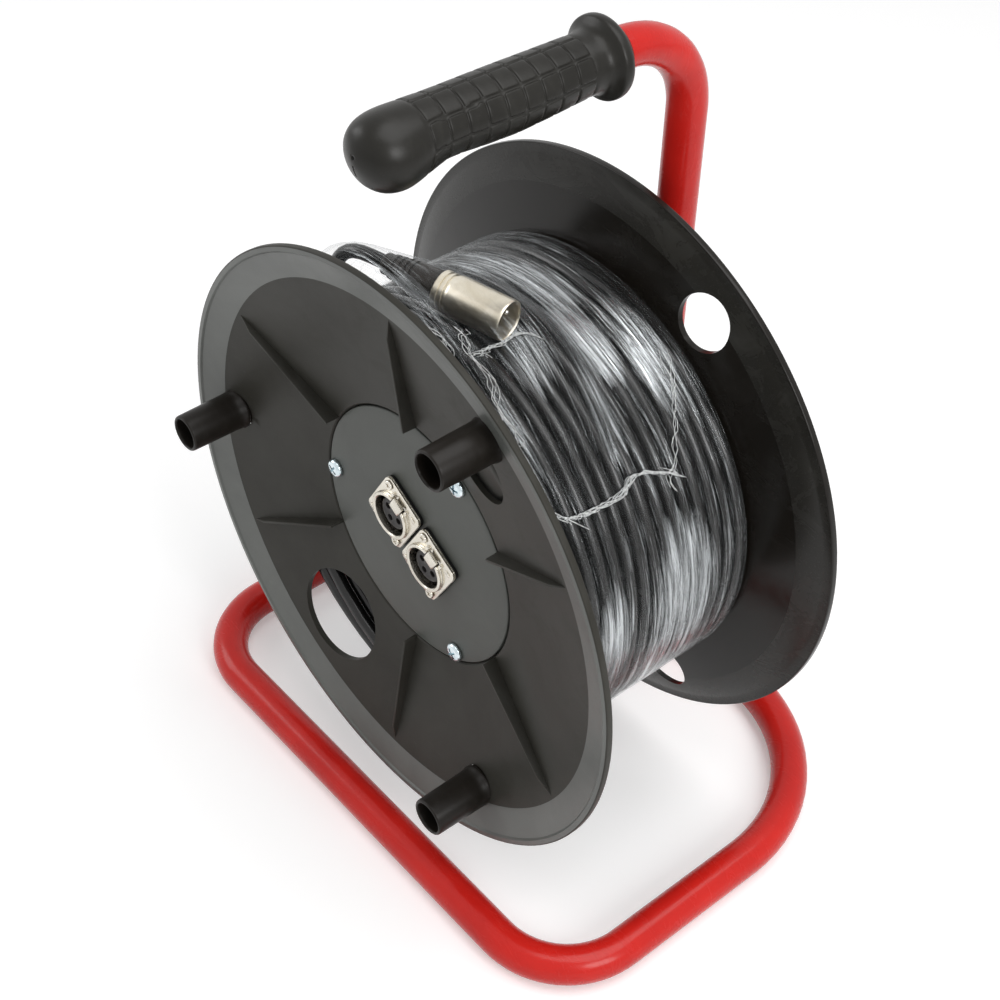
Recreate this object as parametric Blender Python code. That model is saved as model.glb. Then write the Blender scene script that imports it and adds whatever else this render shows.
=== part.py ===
# Two-channel microphone cable drum: a pair of cables wound on a flanged drum that
# turns on a bent tube stand with a rubber grip. Metres, +Z up, drum axis along Y,
# socket side towards -Y, standing on z = 0 with the floor loop centred on the origin.

import math

import bmesh
import bpy
from mathutils import Matrix, Vector

# Stand tube
TUBE_RADIUS = 0.009
TUBE_WALL = 0.0015
LOOP_WIDTH = 0.280
LOOP_FRONT_BEND = 0.040
LOOP_REAR_BEND = 0.080
HANDLE_BEND = 0.042
HANDLE_RISE = 0.062
FOOT_CLEARANCE = 0.0006
TUBE_SIDES = 12

# Fits, and how far a cutter runs past what it cuts
SEAT_GAP = 0.0003
RUNNING_GAP = 0.0004
PAST = 0.01

# Drum place and flange shape
FLOOR_CLEARANCE = 0.022
DRUM_SET_BACK = 0.0145
UPRIGHT_CLEARANCE = 0.0239
FLANGE_RADIUS = 0.1425
DRUM_WIDTH = 0.1313
FLANGE_WALL = 0.0027
LIP_THICKNESS = 0.0032
LIP_WIDTH = 0.003
LIP_RISE = 0.0008
BAND_RADIUS = 0.126
BAND_DEPTH = 0.005
DISH_DEPTH = 0.0183
FLANGE_STEPS = 40

# Ribs on the outer side of each flange
RIB_COUNT = 6
RIB_THICKNESS = 0.0021
RIB_HEIGHT = 0.0036
RIB_CREST_RADIUS = 0.1145
RIB_TIP_RADIUS = 0.1245

# Holes in the flanges, angles seen from the socket side
POST_ANGLES = (180.0, 60.0, -60.0)
POST_CIRCLE = 0.1195
SPARE_POST_HOLE = 0.013
WINDOW_ANGLE = -120.0
WINDOW_CIRCLE = 0.097
WINDOW_RADIUS = 0.0235
FRONT_CENTRE_HOLE = 0.050
SIDE_HOLE_ANGLE = 58.0
SIDE_HOLE_CIRCLE = 0.092
SIDE_HOLE_RADIUS = 0.0165

# Posts
POST_RADIUS = 0.009
POST_BORE = 0.0073
POST_REACH = 0.0230
POST_FLOOR = 0.003

# Hub plate and its screws
PLATE_RADIUS = 0.062
PLATE_THICKNESS = 0.0018
PLATE_MARGIN = 0.0009
SCREW_CIRCLE = 0.05725
SCREW_RADIUS = 0.002
SCREW_LENGTH = 0.014
HEAD_RADIUS = 0.0046
HEAD_HEIGHT = 0.0026

# Drum barrel and bearings
BARREL_RADIUS = 0.066
BARREL_WALL = 0.0025
BARREL_STEPS = 30
HUB_RADIUS = 0.013
HUB_FRONT = 0.006
HUB_CLEARANCE = 0.0017
WEB_PLACE = -0.020
WEB_THICKNESS = 0.003
BOSS_RADIUS = 0.0066
BOSS_LENGTH = 0.018
PILOT_SHARE = 0.9
LEAD_HOLE = 0.004
LEAD_ANGLE = 120.0
LEAD_PLACES = (0.034, 0.024)
SLEEVE_RADIUS = 0.008
BUSH_WALL = 0.002
BUSH_LENGTH = 0.014
BUSH_COLLAR = 0.0125
BUSH_COLLAR_THICKNESS = 0.002

# Axle bolt and what it clamps
BOLT_RADIUS = 0.004
NUT_ACROSS_FLATS = 0.013
BOLT_HEAD = 0.0055
NUT_HEIGHT = 0.008
BOLT_END = 0.0015
WASHER_RADIUS = 0.0125
WASHER_THICKNESS = 0.0016
STANDOFF_RADIUS = 0.0115
SADDLE_RADIUS = 0.010
SADDLE_THICKNESS = 0.005

# Sockets
SOCKET_PITCH = 0.0276
SOCKET_TURN = -30.0
SOCKET_WIDTH = 0.026
SOCKET_HEIGHT = 0.031
SOCKET_CORNER = 0.0035
SOCKET_FLANGE = 0.0016
GASKET_THICKNESS = 0.0009
SOCKET_BODY = 0.0126
SOCKET_BODY_LENGTH = 0.022
SOCKET_BORE = 0.0099
BORE_DROP = 0.0018
RING_RADIUS = 0.0112
RING_RISE = 0.0010
CONTACT_FACE = 0.0020
FACE_RADIUS = 0.0078
FACE_FOOT = 0.003
CONTACT_CIRCLE = 0.0042
CONTACT_RADIUS = 0.0013
CONTACT_HOLE = 0.0017
CONTACT_SINK = 0.004
CONTACT_TAIL = 0.004
FIXING_SPREAD = (0.0095, 0.0120)
FIXING_RADIUS = 0.0014
FIXING_HEAD = 0.0024
FIXING_RISE = 0.0008
FIXING_LENGTH = 0.006

# Release tab of each socket
TAB_TRAVEL = 0.0015
TAB_WIDTH = 0.0066
TAB_PLATE = 0.0011
TAB_LEG_WIDTH = 0.0046
TAB_LEG_LENGTH = 0.006
TAB_LEG_THICKNESS = 0.0014
TAB_INNER_EDGE = 0.0068
TAB_OUTER_EDGE = 0.0135
TAB_LEG_PLACE = 0.0124

# Wound cables
CABLE_RADIUS = 0.0032
PACK_RADIUS = 0.1018
LANE_CLEARANCE = 0.00075
LANE_ROOM = 1.085
LOOP_POINTS = 24
OUTER_END_ANGLE = (205.0, 325.0)
CLIMB_ARC = 38.0
CROSSING_CLEARANCE = 0.0006
LANDING_ARC = 51.0
SHIFT_ARC = 24.0
PACK_GAP = 0.0013
RISER_LENGTH = 0.009
RISER_HEIGHT = 0.0088
RISER_WIDTH = 0.0066
RISER_SINK = 0.0022

# Plugs on the free ends
PLUG_RADIUS = 0.009
PLUG_SHELL_LENGTH = 0.034
PLUG_BORE = 0.0081
PLUG_BORE_DEPTH = 0.0195
PLUG_REAR_RADIUS = 0.0086
PLUG_THROAT = 0.0062
BOOT_LENGTH = 0.028
BOOT_RADIUS = 0.0072
BOOT_END_RADIUS = 0.0048
BOOT_SPIGOT = 0.008
FACE_THICKNESS = 0.005
PIN_RADIUS = 0.0012
PIN_CIRCLE = 0.0040
PIN_RECESS = 0.003
PLUG_PLACES = (
    {"touch": 88.0, "along": -0.0450, "across": 0.0303, "swing": -15.2},
    {"touch": 193.0, "along": -0.0470, "across": 0.0020, "swing": -9.0},
)

# Grip
GRIP_LENGTH = 0.129
GRIP_BEND_GAP = 0.0032
GRIP_NOSE = 0.018
GRIP_COLLAR = 0.0172
GRIP_SIDES = 18

# Weld beads
WELD_SIZE = (0.0042, 0.0036, 0.0070)
WELD_OFFSET = 0.0066

HALF_WIDTH = DRUM_WIDTH / 2
RECESS_FLOOR = DISH_DEPTH + PLATE_THICKNESS + SEAT_GAP
SEAT_DEPTH = RECESS_FLOOR + FLANGE_WALL
RECESS_RADIUS = PLATE_RADIUS + PLATE_MARGIN
SEAT_RADIUS = BARREL_RADIUS + 0.0022
DISH_SLOPE = (DISH_DEPTH - BAND_DEPTH) / (BAND_RADIUS - RECESS_RADIUS)
BARREL_HALF = HALF_WIDTH - SEAT_DEPTH - SEAT_GAP
BARREL_BORE = BARREL_RADIUS - BARREL_WALL
HUB_REAR = -(HALF_WIDTH - SEAT_DEPTH + 0.0015)
HUB_BORE = SLEEVE_RADIUS + RUNNING_GAP + BUSH_WALL + SEAT_GAP
AXLE_HEIGHT = FLANGE_RADIUS + FLOOR_CLEARANCE
HANDLE_HEIGHT = AXLE_HEIGHT + FLANGE_RADIUS + HANDLE_RISE
DRUM_ROOM = DRUM_SET_BACK + DRUM_WIDTH + UPRIGHT_CLEARANCE
LOOP_DEPTH = DRUM_ROOM + 3 * TUBE_RADIUS + SEAT_GAP
LOOP_REAR_Y = LOOP_DEPTH / 2
UPRIGHT_Y = LOOP_REAR_Y - 2 * TUBE_RADIUS - SEAT_GAP
DRUM_Y = -LOOP_DEPTH / 2 + DRUM_SET_BACK + HALF_WIDTH
UPRIGHT_LOCAL = DRUM_Y - UPRIGHT_Y
GRIP_REAR = UPRIGHT_Y - HANDLE_BEND - GRIP_BEND_GAP
GRIP_FRONT = GRIP_REAR - GRIP_LENGTH
GRIP_BORE_END = GRIP_FRONT + GRIP_NOSE
CORE_RADIUS = PACK_RADIUS - CABLE_RADIUS - PACK_GAP
RIDE_RADIUS = PACK_RADIUS + 2 * CABLE_RADIUS + CROSSING_CLEARANCE
PLATE_FRONT = HALF_WIDTH - DISH_DEPTH


def clear_scene():
    for item in list(bpy.data.objects):
        bpy.data.objects.remove(item, do_unlink=True)


def make_material(name, color, roughness, metallic=0.0):
    made = bpy.data.materials.new(name)
    made.use_nodes = True
    shader = made.node_tree.nodes["Principled BSDF"]
    shader.inputs["Base Color"].default_value = (*color, 1.0)
    shader.inputs["Roughness"].default_value = roughness
    shader.inputs["Metallic"].default_value = metallic
    return made


def add_empty(name, location, rotation=(0.0, 0.0, 0.0), parent=None):
    empty = bpy.data.objects.new(name, None)
    empty.location = location
    empty.rotation_euler = rotation
    empty.parent = parent
    bpy.context.scene.collection.objects.link(empty)
    return empty


def add_mesh(name, shape, look=None, parent=None, smooth=True):
    bmesh.ops.recalc_face_normals(shape, faces=shape.faces)
    mesh = bpy.data.meshes.new(name)
    shape.to_mesh(mesh)
    shape.free()
    if smooth:
        mesh.shade_smooth()
        mesh.set_sharp_from_angle(angle=math.radians(35))
    if look:
        mesh.materials.append(look)
    item = bpy.data.objects.new(name, mesh)
    item.parent = parent
    bpy.context.scene.collection.objects.link(item)
    return item


def as_cutter(item):
    item.hide_render = True
    item.display_type = "WIRE"
    return item


def combine(target, tool, operation):
    step = target.modifiers.new(operation.title(), "BOOLEAN")
    step.operation = operation
    step.solver = "EXACT"
    step.object = as_cutter(tool)


# A turned shape about local Z from (radius, height) points, the last joined to the first
def turned(profile, steps):
    shape = bmesh.new()
    corners = [shape.verts.new((radius, 0.0, height)) for radius, height in profile]
    edges = []
    for first, second in zip(corners, corners[1:] + corners[:1]):
        if first.co.x > 0.0 or second.co.x > 0.0:
            edges.append(shape.edges.new((first, second)))
    bmesh.ops.spin(
        shape,
        geom=corners + edges,
        cent=(0.0, 0.0, 0.0),
        axis=(0.0, 0.0, 1.0),
        angle=math.tau,
        steps=steps,
        use_merge=True,
    )
    bmesh.ops.remove_doubles(shape, verts=shape.verts, dist=0.000001)
    return shape


def add_rod(shape, radius, low, high, place=(0.0, 0.0), steps=20, turn=0.0):
    middle = Vector((place[0], place[1], (low + high) / 2))
    bmesh.ops.create_cone(
        shape,
        cap_ends=True,
        segments=steps,
        radius1=radius,
        radius2=radius,
        depth=high - low,
        matrix=Matrix.Translation(middle) @ Matrix.Rotation(turn, 4, "Z"),
    )


def add_box(shape, size, centre):
    scale = Matrix.Diagonal((*size, 1.0))
    bmesh.ops.create_cube(shape, size=1.0, matrix=Matrix.Translation(centre) @ scale)


def polar(radius, degrees):
    angle = math.radians(degrees)
    return radius * math.cos(angle), radius * math.sin(angle)


# Depth of the flange's outer face behind the rim plane, at a radius
def dish_depth(radius):
    if radius >= BAND_RADIUS:
        share = (FLANGE_RADIUS - LIP_WIDTH - radius) / (FLANGE_RADIUS - LIP_WIDTH - BAND_RADIUS)
        return LIP_RISE + share * (BAND_DEPTH - LIP_RISE)
    return BAND_DEPTH + (BAND_RADIUS - radius) * DISH_SLOPE


# Height above the drum's middle plane of the flange's cable side, at a radius
def cable_side(radius):
    return HALF_WIDTH - dish_depth(radius) - FLANGE_WALL


def tube_along(name, points, radius, look, resolution=2, cyclic=False):
    curve = bpy.data.curves.new(name, "CURVE")
    curve.dimensions = "3D"
    curve.bevel_depth = radius
    curve.bevel_resolution = resolution
    curve.use_fill_caps = True
    spline = curve.splines.new("POLY")
    spline.points.add(len(points) - 1)
    for spot, point in zip(spline.points, points):
        spot.co = (*point, 1.0)
    spline.use_cyclic_u = cyclic
    curve.materials.append(look)
    item = bpy.data.objects.new(name, curve)
    bpy.context.scene.collection.objects.link(item)
    return item


def arc_points(centre, start, side, sweep, steps):
    found = []
    for count in range(steps + 1):
        angle = sweep * count / steps
        found.append(centre + start * math.cos(angle) + side * math.sin(angle))
    return found


def build_floor_loop(look):
    half_width = LOOP_WIDTH / 2
    half_depth = LOOP_DEPTH / 2
    corners = (
        (half_width, -half_depth, LOOP_FRONT_BEND, Vector((0, -1, 0)), Vector((1, 0, 0))),
        (half_width, half_depth, LOOP_REAR_BEND, Vector((1, 0, 0)), Vector((0, 1, 0))),
        (-half_width, half_depth, LOOP_REAR_BEND, Vector((0, 1, 0)), Vector((-1, 0, 0))),
        (-half_width, -half_depth, LOOP_FRONT_BEND, Vector((-1, 0, 0)), Vector((0, -1, 0))),
    )
    route = []
    for x, y, bend, start, side in corners:
        centre = Vector((x - math.copysign(bend, x), y - math.copysign(bend, y), TUBE_RADIUS))
        route += arc_points(centre, start * bend, side * bend, math.pi / 2, 5)
    return tube_along("floor_loop", route, TUBE_RADIUS, look, resolution=4, cyclic=True)


# A band of faces between two rings of the same count
def skin(shape, first, second):
    pairs = list(zip(first, second))
    for (a, b), (c, d) in zip(pairs, pairs[1:] + pairs[:1]):
        shape.faces.new((a, b, d, c))


# Two rings round a point of a route in the X = 0 plane, outer then inner
def tube_rings(shape, point, tangent, outer, inner):
    side = Vector((1.0, 0.0, 0.0))
    up = side.cross(tangent)
    rings = []
    for radius in (outer, inner):
        ring = []
        for count in range(TUBE_SIDES):
            angle = math.tau * count / TUBE_SIDES
            outward = side * math.cos(angle) + up * math.sin(angle)
            ring.append(shape.verts.new(point + radius * outward))
        rings.append(ring)
    return rings


def build_handle_tube(look):
    top = HANDLE_HEIGHT
    bend_centre = Vector((0.0, UPRIGHT_Y - HANDLE_BEND, top - HANDLE_BEND))
    shape = bmesh.new()
    start = Vector((0.0, GRIP_BORE_END + 3 * SEAT_GAP, top))
    back = Vector((0.0, 1.0, 0.0))
    down = Vector((0.0, 0.0, -1.0))
    inner = TUBE_RADIUS - TUBE_WALL
    stations = [tube_rings(shape, start, back, TUBE_RADIUS, inner)]
    bends = 7
    for count in range(bends + 1):
        angle = math.pi / 2 * count / bends
        point = bend_centre - HANDLE_BEND * (down * math.cos(angle) - back * math.sin(angle))
        tangent = back * math.cos(angle) + down * math.sin(angle)
        stations.append(tube_rings(shape, point, tangent, TUBE_RADIUS, inner))
    foot = Vector((0.0, UPRIGHT_Y, FOOT_CLEARANCE))
    stations.append(tube_rings(shape, foot, down, TUBE_RADIUS, inner))
    for first, second in zip(stations, stations[1:]):
        skin(shape, first[0], second[0])
        skin(shape, first[1], second[1])
    for outer_ring, inner_ring in (stations[0], stations[-1]):
        skin(shape, outer_ring, inner_ring)
    tube = add_mesh("handle_tube", shape, look)
    hole = bmesh.new()
    add_rod(hole, BOLT_RADIUS + SEAT_GAP, -0.02, 0.02, steps=12)
    cross = add_mesh("handle_tube_cross_hole", hole)
    cross.location = (0.0, UPRIGHT_Y, AXLE_HEIGHT)
    cross.rotation_euler = (math.pi / 2, 0.0, 0.0)
    combine(tube, cross, "DIFFERENCE")
    return tube


def build_weld_bead(side, look):
    place = Vector((side * WELD_OFFSET, UPRIGHT_Y + TUBE_RADIUS + SEAT_GAP / 2, TUBE_RADIUS * 1.6))
    bead = bmesh.new()
    size = Matrix.Diagonal((*WELD_SIZE, 1.0))
    bmesh.ops.create_uvsphere(
        bead, u_segments=10, v_segments=6, radius=1.0, matrix=Matrix.Translation(place) @ size
    )
    name = "weld_bead_right" if side > 0 else "weld_bead_left"
    item = add_mesh(name, bead, look)
    tubes = bmesh.new()
    clear = TUBE_RADIUS + SEAT_GAP
    upright = Matrix.Translation((0.0, UPRIGHT_Y, 0.02))
    bar = Matrix.Translation((0.0, LOOP_REAR_Y, TUBE_RADIUS)) @ Matrix.Rotation(math.pi / 2, 4, "Y")
    bmesh.ops.create_cone(
        tubes, cap_ends=True, segments=28, radius1=clear, radius2=clear, depth=0.06, matrix=upright
    )
    cutter = add_mesh(name + "_upright_cut", tubes)
    combine(item, cutter, "DIFFERENCE")
    rail = bmesh.new()
    bmesh.ops.create_cone(
        rail, cap_ends=True, segments=28, radius1=clear, radius2=clear, depth=0.06, matrix=bar
    )
    combine(item, add_mesh(name + "_bar_cut", rail), "DIFFERENCE")
    return item


# Upper and lower radius of the grip at a distance behind its front end
GRIP_STATIONS = (
    (0.0000, 0.0010, 0.0010),
    (0.0030, 0.0100, 0.0098),
    (0.0070, 0.0130, 0.0142),
    (0.0120, 0.0146, 0.0168),
    (0.0180, 0.0149, 0.0172),
    (0.0240, 0.0148, 0.0158),
    (0.0370, 0.0145, 0.0122),
    (0.0450, 0.0143, 0.0124),
    (0.0580, 0.0140, 0.0135),
    (0.0720, 0.0137, 0.0142),
    (0.0880, 0.0133, 0.0137),
    (0.1100, 0.0129, 0.0128),
    (0.1160, 0.0140, 0.0140),
    (0.1185, GRIP_COLLAR, GRIP_COLLAR),
    (0.1225, GRIP_COLLAR + 0.0004, GRIP_COLLAR + 0.0004),
    (0.1265, 0.0165, 0.0165),
    (GRIP_LENGTH, 0.0120, 0.0120),
)


def build_grip(look):
    shape = bmesh.new()
    loops = []
    for behind, above, below in GRIP_STATIONS:
        ring = []
        for count in range(GRIP_SIDES):
            angle = math.tau * count / GRIP_SIDES
            share = (1.0 + math.sin(angle)) / 2
            radius = below + (above - below) * share
            ring.append(shape.verts.new((radius * math.cos(angle), behind, radius * math.sin(angle))))
        loops.append(ring)
    for first, second in zip(loops, loops[1:]):
        skin(shape, first, second)
    shape.faces.new(loops[0])
    shape.faces.new(loops[-1])
    grip = add_mesh("grip", shape, look)
    grip.location = (0.0, GRIP_FRONT, HANDLE_HEIGHT)
    bore = bmesh.new()
    depth = GRIP_REAR - GRIP_BORE_END + PAST
    middle = Matrix.Translation((0.0, GRIP_BORE_END + depth / 2, HANDLE_HEIGHT))
    bmesh.ops.create_cone(
        bore,
        cap_ends=True,
        segments=2 * TUBE_SIDES,
        radius1=TUBE_RADIUS + SEAT_GAP,
        radius2=TUBE_RADIUS + SEAT_GAP,
        depth=depth,
        matrix=middle @ Matrix.Rotation(math.pi / 2, 4, "X"),
    )
    combine(grip, add_mesh("grip_bore", bore), "DIFFERENCE")
    return grip


def flange_profile(centre_hole):
    lip = FLANGE_RADIUS - LIP_WIDTH
    seat = HALF_WIDTH - SEAT_DEPTH
    return [
        (centre_hole, HALF_WIDTH - RECESS_FLOOR),
        (RECESS_RADIUS, HALF_WIDTH - RECESS_FLOOR),
        (RECESS_RADIUS, HALF_WIDTH - DISH_DEPTH),
        (BAND_RADIUS, HALF_WIDTH - BAND_DEPTH),
        (lip, HALF_WIDTH - LIP_RISE),
        (lip + 0.0004, HALF_WIDTH),
        (FLANGE_RADIUS, HALF_WIDTH),
        (FLANGE_RADIUS, HALF_WIDTH - LIP_THICKNESS),
        (lip, cable_side(lip)),
        (BAND_RADIUS, cable_side(BAND_RADIUS)),
        (SEAT_RADIUS + 0.0003, cable_side(SEAT_RADIUS + 0.0003)),
        (SEAT_RADIUS, seat),
        (centre_hole, seat),
    ]


def rib_tool(name, parent):
    shape = bmesh.new()
    inner = RECESS_RADIUS
    outline = [
        (inner, HALF_WIDTH - dish_depth(inner) + RIB_HEIGHT * 0.8),
        (RIB_CREST_RADIUS, HALF_WIDTH - dish_depth(RIB_CREST_RADIUS) + RIB_HEIGHT),
        (RIB_TIP_RADIUS, HALF_WIDTH - dish_depth(RIB_TIP_RADIUS)),
        (RIB_TIP_RADIUS, HALF_WIDTH - dish_depth(RIB_TIP_RADIUS) - FLANGE_WALL / 2),
        (inner, HALF_WIDTH - dish_depth(inner) - FLANGE_WALL / 2),
    ]
    for count in range(RIB_COUNT):
        turn = Matrix.Rotation(math.radians(90 + count * 360 / RIB_COUNT), 3, "Z")
        half = RIB_THICKNESS / 2
        near = [shape.verts.new(turn @ Vector((r, -half, z))) for r, z in outline]
        face = shape.faces.new(near)
        grown = bmesh.ops.extrude_face_region(shape, geom=[face])
        far = [item for item in grown["geom"] if isinstance(item, bmesh.types.BMVert)]
        bmesh.ops.translate(shape, verts=far, vec=turn @ Vector((0.0, RIB_THICKNESS, 0.0)))
    return add_mesh(name, shape, parent=parent, smooth=False)


# Both flanges are one moulding: ribs and dish outwards, cone towards the cables
def build_flange(name, parent, look, centre_hole, post_hole, mirrored):
    flange = add_mesh(name, turned(flange_profile(centre_hole), FLANGE_STEPS), look, parent)
    combine(flange, rib_tool(name + "_ribs", parent), "UNION")
    sign = -1.0 if mirrored else 1.0
    cuts = bmesh.new()
    low = HALF_WIDTH - SEAT_DEPTH - PAST
    high = HALF_WIDTH + PAST
    for angle in POST_ANGLES:
        add_rod(cuts, post_hole, low, high, polar(POST_CIRCLE, sign * angle), 20)
        add_rod(cuts, SCREW_RADIUS + SEAT_GAP, low, high, polar(SCREW_CIRCLE, sign * angle), 8)
    add_rod(cuts, WINDOW_RADIUS, low, high, polar(WINDOW_CIRCLE, sign * WINDOW_ANGLE), 28)
    holes = add_mesh(name + "_holes", cuts, parent=parent)
    combine(flange, holes, "DIFFERENCE")
    if not mirrored:
        side = bmesh.new()
        place = polar(SIDE_HOLE_CIRCLE, SIDE_HOLE_ANGLE)
        add_rod(side, SIDE_HOLE_RADIUS, low, high, place, 24)
        combine(flange, add_mesh(name + "_side_hole", side, parent=parent), "DIFFERENCE")
    return flange


def build_post(name, angle, parent, look):
    mouth = HALF_WIDTH + POST_REACH
    foot = cable_side(POST_CIRCLE) - 0.0008
    profile = [
        (0.0, foot),
        (POST_RADIUS, foot),
        (POST_RADIUS, mouth - 0.0005),
        (POST_RADIUS - 0.0005, mouth),
        (POST_BORE + 0.0003, mouth),
        (POST_BORE, mouth - 0.0004),
        (POST_BORE - 0.0003, foot + POST_FLOOR),
        (0.0, foot + POST_FLOOR),
    ]
    post = add_mesh(name, turned(profile, 18), look, parent)
    post.location = (*polar(POST_CIRCLE, angle), 0.0)
    return post


def build_hub_plate(parent, look):
    low = PLATE_FRONT - PLATE_THICKNESS
    shape = bmesh.new()
    add_rod(shape, PLATE_RADIUS, low, PLATE_FRONT, steps=FLANGE_STEPS)
    plate = add_mesh("hub_plate", shape, look, parent)
    cuts = bmesh.new()
    for angle in POST_ANGLES:
        place = polar(SCREW_CIRCLE, angle)
        add_rod(cuts, SCREW_RADIUS + SEAT_GAP, low - PAST, PLATE_FRONT + PAST, place, 12)
    for side in (-0.5, 0.5):
        place = Vector((*polar(side * SOCKET_PITCH, SOCKET_TURN), 0.0))
        turn = Matrix.Rotation(math.radians(SOCKET_TURN), 3, "Z")
        add_rod(cuts, SOCKET_BODY + SEAT_GAP, low - PAST, PLATE_FRONT + PAST, place.xy, 24)
        for sign in (-1, 1):
            spread = turn @ Vector((-sign * FIXING_SPREAD[0], sign * FIXING_SPREAD[1], 0.0))
            spot = place + spread
            add_rod(cuts, FIXING_RADIUS + SEAT_GAP, low - PAST, PLATE_FRONT + PAST, spot.xy, 8)
    combine(plate, add_mesh("hub_plate_holes", cuts, parent=parent), "DIFFERENCE")
    return plate


def pan_screw(head_seat, radius, length, head_radius, head_height, steps):
    profile = [
        (0.0, head_seat - length),
        (radius * 0.7, head_seat - length),
        (radius, head_seat),
        (head_radius, head_seat),
        (head_radius, head_seat + head_height * 0.4),
        (head_radius * 0.6, head_seat + head_height),
        (0.0, head_seat + head_height),
    ]
    return turned(profile, steps)


def build_screws(prefix, seat, parent, look, mirrored):
    for number, angle in enumerate(POST_ANGLES, 1):
        name = f"{prefix}_{number}"
        shape = pan_screw(seat, SCREW_RADIUS, SCREW_LENGTH, HEAD_RADIUS, HEAD_HEIGHT, 10)
        screw = add_mesh(name, shape, look, parent)
        screw.location = (*polar(SCREW_CIRCLE, -angle if mirrored else angle), 0.0)


def build_web(parent, look):
    web_low = WEB_PLACE - WEB_THICKNESS / 2
    web_high = WEB_PLACE + WEB_THICKNESS / 2
    rim = BARREL_BORE - SEAT_GAP
    profile = [
        (HUB_BORE, HUB_REAR),
        (HUB_RADIUS, HUB_REAR),
        (HUB_RADIUS, web_low),
        (rim, web_low),
        (rim, web_high),
        (HUB_RADIUS, web_high),
        (HUB_RADIUS, HUB_FRONT),
        (HUB_BORE, HUB_FRONT),
    ]
    return add_mesh("drum_web", turned(profile, BARREL_STEPS), look, parent)


def build_barrel(parent, look):
    profile = ring_profile(BARREL_BORE, BARREL_RADIUS, -BARREL_HALF, BARREL_HALF)
    barrel = add_mesh("drum_barrel", turned(profile, BARREL_STEPS), look, parent)
    bosses = bmesh.new()
    pilots = bmesh.new()
    for angle in POST_ANGLES:
        place = polar(SCREW_CIRCLE, angle)
        add_rod(bosses, BOSS_RADIUS, BARREL_HALF - BOSS_LENGTH, BARREL_HALF, place, 12)
        add_rod(bosses, BOSS_RADIUS, -BARREL_HALF, -BARREL_HALF + BOSS_LENGTH, place, 12)
        drill = SCREW_RADIUS + SEAT_GAP
        add_rod(pilots, drill, BARREL_HALF - BOSS_LENGTH * PILOT_SHARE, BARREL_HALF + PAST, place, 8)
        add_rod(pilots, drill, -BARREL_HALF - PAST, -BARREL_HALF + BOSS_LENGTH * PILOT_SHARE, place, 8)
    combine(barrel, add_mesh("drum_barrel_bosses", bosses, parent=parent), "UNION")
    combine(barrel, add_mesh("drum_barrel_pilots", pilots, parent=parent), "DIFFERENCE")
    leads = bmesh.new()
    for height in LEAD_PLACES:
        turn = Matrix.Rotation(math.radians(LEAD_ANGLE), 4, "Z") @ Matrix.Rotation(math.pi / 2, 4, "Y")
        spot = on_drum(BARREL_RADIUS, LEAD_ANGLE, height)
        bmesh.ops.create_cone(
            leads,
            cap_ends=True,
            segments=14,
            radius1=LEAD_HOLE,
            radius2=LEAD_HOLE,
            depth=4 * BARREL_WALL,
            matrix=Matrix.Translation(spot) @ turn,
        )
    combine(barrel, add_mesh("drum_barrel_lead_holes", leads, parent=parent), "DIFFERENCE")
    return barrel


def build_bush(name, end, outward, parent, look):
    bore = SLEEVE_RADIUS + RUNNING_GAP
    body = HUB_BORE - SEAT_GAP
    face = end + outward * SEAT_GAP
    profile = [
        (bore, face - outward * BUSH_LENGTH),
        (body, face - outward * BUSH_LENGTH),
        (body, face),
        (BUSH_COLLAR, face),
        (BUSH_COLLAR, face + outward * BUSH_COLLAR_THICKNESS),
        (bore, face + outward * BUSH_COLLAR_THICKNESS),
    ]
    return add_mesh(name, turned(profile, 16), look, parent)


def ring_profile(bore, radius, low, high):
    return [(bore, low), (radius, low), (radius, high), (bore, high)]


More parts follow.
